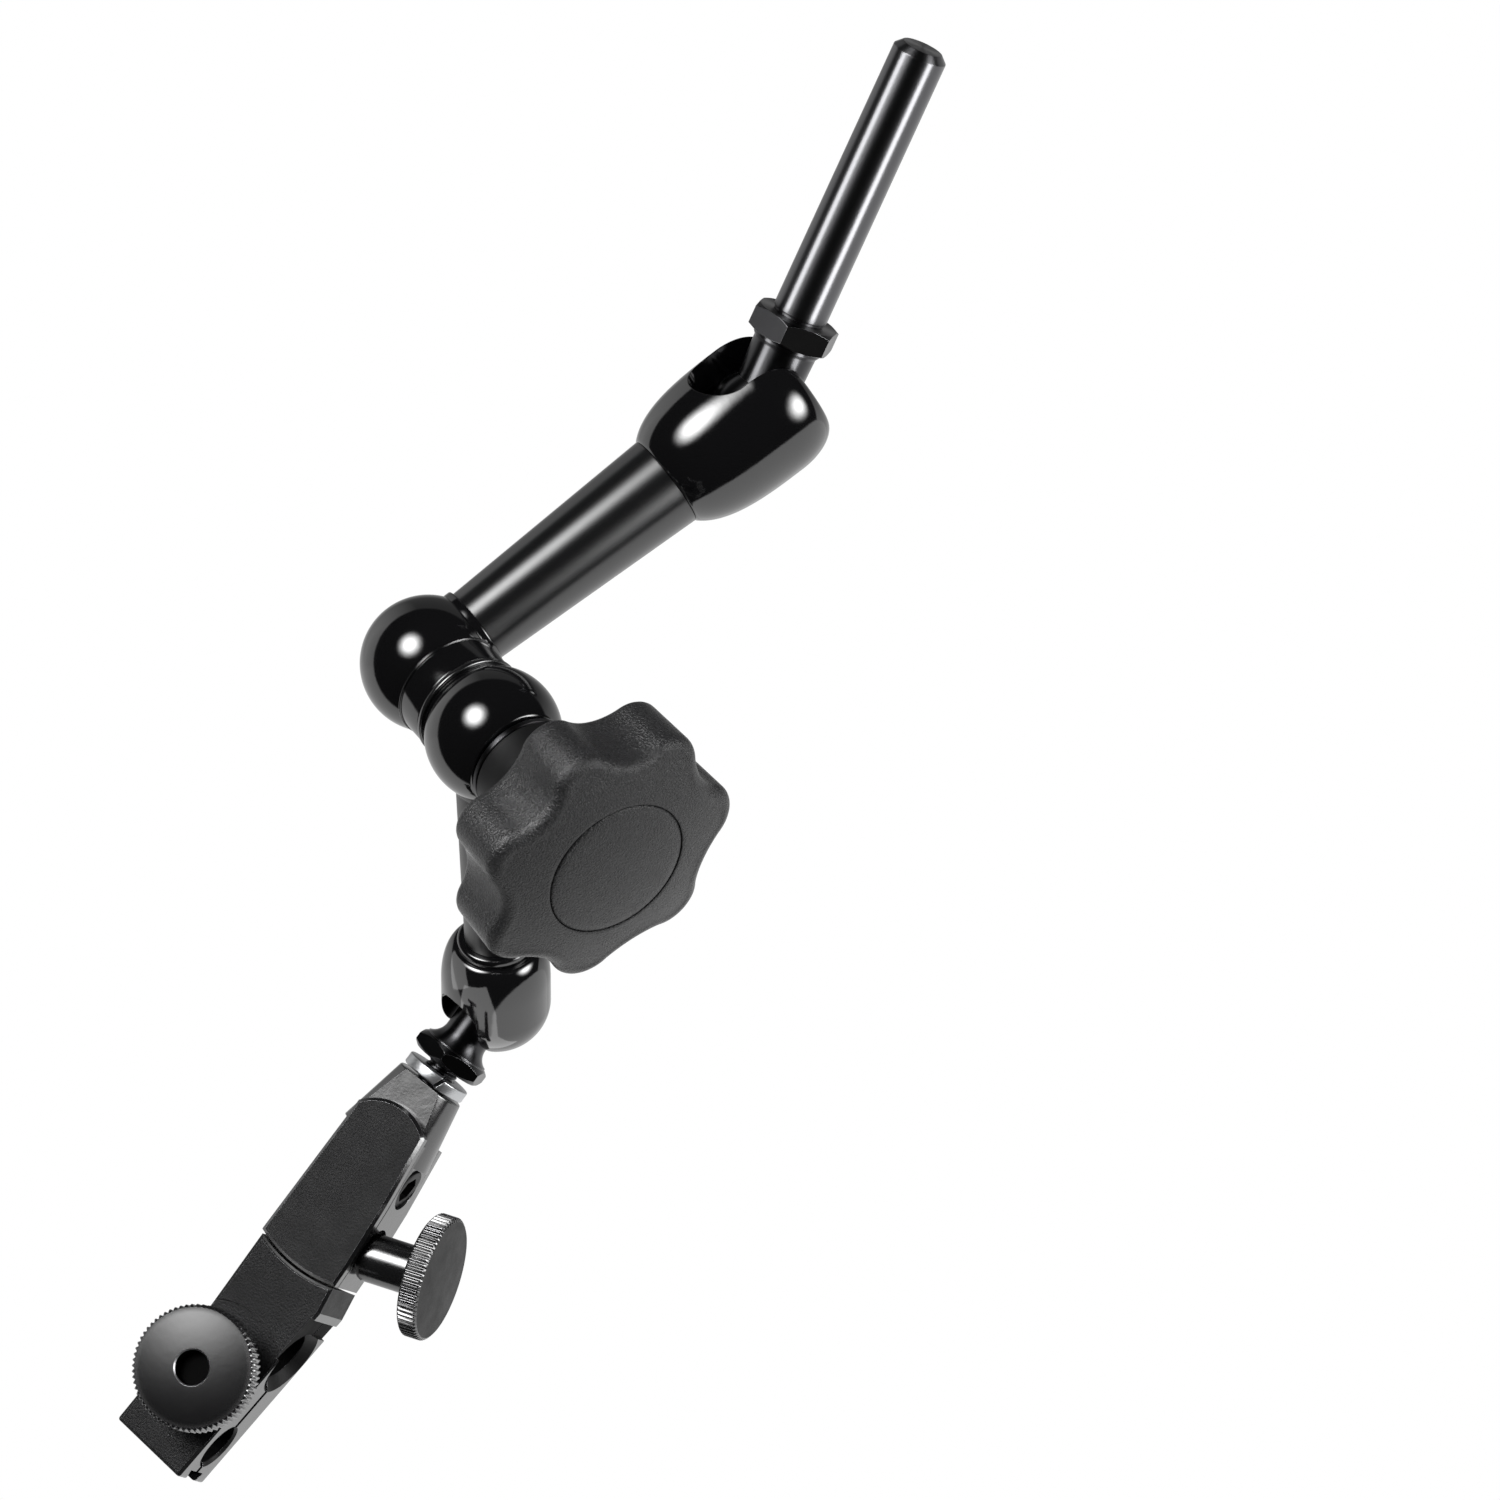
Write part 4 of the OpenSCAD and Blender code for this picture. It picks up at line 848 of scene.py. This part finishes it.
def studio(lamps):
    """World: pale to the camera; in reflections dark in front, bright behind and below, with soft lamps."""
    world = bpy.data.worlds.new("studio")
    bpy.context.scene.world = world
    world.use_nodes = True
    nodes, links = world.node_tree.nodes, world.node_tree.links
    nodes.clear()
    way = nodes.new("ShaderNodeTexCoord").outputs["Generated"]

    def toward(direction, lo, hi, top):
        """top where the ray runs along direction, fading to nothing between two cosines."""
        dot = nodes.new("ShaderNodeVectorMath")
        dot.operation = "DOT_PRODUCT"
        links.new(way, dot.inputs[0])
        dot.inputs[1].default_value = direction
        ramp = nodes.new("ShaderNodeMapRange")
        links.new(dot.outputs["Value"], ramp.inputs["Value"])
        for key, v in zip(("From Min", "From Max", "To Min", "To Max"), (lo, hi, 0.0, top)):
            ramp.inputs[key].default_value = v
        return ramp.outputs["Result"]

    def math_node(operation, a, b):
        node = nodes.new("ShaderNodeMath")
        node.operation = operation
        for slot_number, v in ((0, a), (1, b)):
            if isinstance(v, float):
                node.inputs[slot_number].default_value = v
            else:
                links.new(v, node.inputs[slot_number])
        return node.outputs[0]

    sides = math_node("MAXIMUM", toward(-UP, -0.6, 0.1, 0.8), toward(-RIGHT, 0.2, 0.7, 0.7))
    behind = math_node("MULTIPLY", toward(-TOWARD, 0.24, 0.30, 1.0), math_node("ADD", sides, 0.15))
    below = toward(seen(0.50, -0.757, -0.42), 0.68, 0.71, 1.2)
    light = math_node("ADD", math_node("MAXIMUM", behind, below), 0.02)
    for direction, reach, top in lamps:
        glow = math_node("POWER", toward(direction, math.cos(math.radians(reach)), 1.0, 1.0), 3.0)
        light = math_node("ADD", light, math_node("MULTIPLY", glow, top))
    camera = nodes.new("ShaderNodeLightPath").outputs["Is Camera Ray"]
    strength = math_node("MAXIMUM", camera,
                         math_node("MULTIPLY", light, math_node("SUBTRACT", 1.0, camera)))
    shown = nodes.new("ShaderNodeBackground")
    links.new(strength, shown.inputs["Strength"])
    links.new(shown.outputs[0], nodes.new("ShaderNodeOutputWorld").inputs["Surface"])


LEFT_LAMP, RIGHT_LAMP, LAMP_REACH = seen(-0.50, 0.50, 0.71), seen(0.87, 0.06, 0.46), 26
studio(((LEFT_LAMP, LAMP_REACH, 22.0), (RIGHT_LAMP, LAMP_REACH, 18.0)))


def card(name, direction, distance, size, receivers, radiance, shift=Vector()):
    """Long soft lamp facing the given pieces, lighting only them."""
    lamp = bpy.data.lights.new(name, "AREA")
    lamp.shape = "RECTANGLE"
    lamp.size, lamp.size_y = size
    lamp.energy = radiance * math.pi * lamp.size * lamp.size_y
    obj = bpy.data.objects.new(name, lamp)
    bpy.context.scene.collection.objects.link(obj)
    back = direction.normalized()
    side = (RIGHT if abs(back.z) > 0.9 else Vector((0, 0, 1)).cross(back)).normalized()
    side = (side - back * side.dot(back)).normalized()
    obj.matrix_world = Matrix((side, back.cross(side), back)).transposed().to_4x4()
    obj.location = receivers[0].matrix_world.translation + back * distance + shift
    obj.visible_camera = False
    group = bpy.data.collections.new(name + "_receivers")
    for receiver in receivers:
        group.objects.link(receiver)
    obj.light_linking.receiver_collection = group


# One flat of each hexagon is dark in the photo; that flat gets a painted dark reflection in the near-black finish.
bpy.context.view_layer.update()
for stud, low, high in ((large_stud, COLLAR_LOW, COLLAR_HIGH), (lower_stud, FLANGE_LOW, FLANGE_HIGH)):
    front = stud.matrix_world.to_3x3().inverted() @ seen(0.35, -0.5, 0.8)
    front.z = 0
    front.normalize()
    paint(stud, painted_deep_shade, lambda p, n: (low < p.z < high and p.xy.length > FLANGE_SEAT_R + 0.15
                                    and abs(n.z) < 0.05 and n.dot(front) > 0.87))

card("left_strip", seen(-0.906, 0.043, 0.418), 1.0, (0.34, 0.9), (shank, large_stud), 8.5)
card("right_strip", seen(0.62, -0.66, 0.418), 1.0, (0.34, 0.9), (shank, large_stud), 10.0)
card("low_card", -UP, 0.3, (0.55, 0.42), (small_head,), 1.1, shift=TOWARD * -0.09 - RIGHT * 0.175)
card("side_card", seen(-0.985, 0.0, 0.17), 1.0, (0.9, 2.4), (small_head,), 1.0, shift=UP * 0.5)
card("knob_lamp", LEFT_LAMP, 0.8, (0.3, 0.3), (knob,), 18.0)

FLOOR_HALF, FLOOR_Z = 6, -0.34
floor = bpy.data.objects.new("floor", bpy.data.meshes.new("floor"))
bm = bmesh.new()
bmesh.ops.create_grid(bm, x_segments=1, y_segments=1, size=FLOOR_HALF)
bm.to_mesh(floor.data)
bm.free()
bpy.context.scene.collection.objects.link(floor)
floor.location.z = FLOOR_Z
floor_paint = bpy.data.materials.new("pale_floor")
floor_paint.use_nodes = True
tree = floor_paint.node_tree
white = tree.nodes.new("ShaderNodeEmission")
white.inputs["Color"].default_value = (1, 1, 1, 1)
tree.links.new(white.outputs[0], tree.nodes["Material Output"].inputs["Surface"])
floor.data.materials.append(floor_paint)
floor.visible_glossy = floor.visible_diffuse = floor.visible_shadow = False

# The photo shows hardly any perspective. The aim is given in millimetres from the large ball.
LENS, VIEW_WIDTH, AIM_RIGHT, AIM_UP = 1600, 0.2521, -0.70, -56.55
camera = bpy.data.objects.new("camera", bpy.data.cameras.new("camera"))
bpy.context.scene.collection.objects.link(camera)
bpy.context.scene.camera = camera
camera.data.lens = LENS
aim = big_ball + RIGHT * (AIM_RIGHT * MM) + UP * (AIM_UP * MM)
camera.location = aim + TOWARD * (VIEW_WIDTH * LENS / camera.data.sensor_width)
camera.rotation_euler = Matrix((RIGHT, UP, TOWARD)).transposed().to_euler()
camera.data.clip_start, camera.data.clip_end = 0.1, 100
bpy.context.scene.view_settings.view_transform = "Standard"
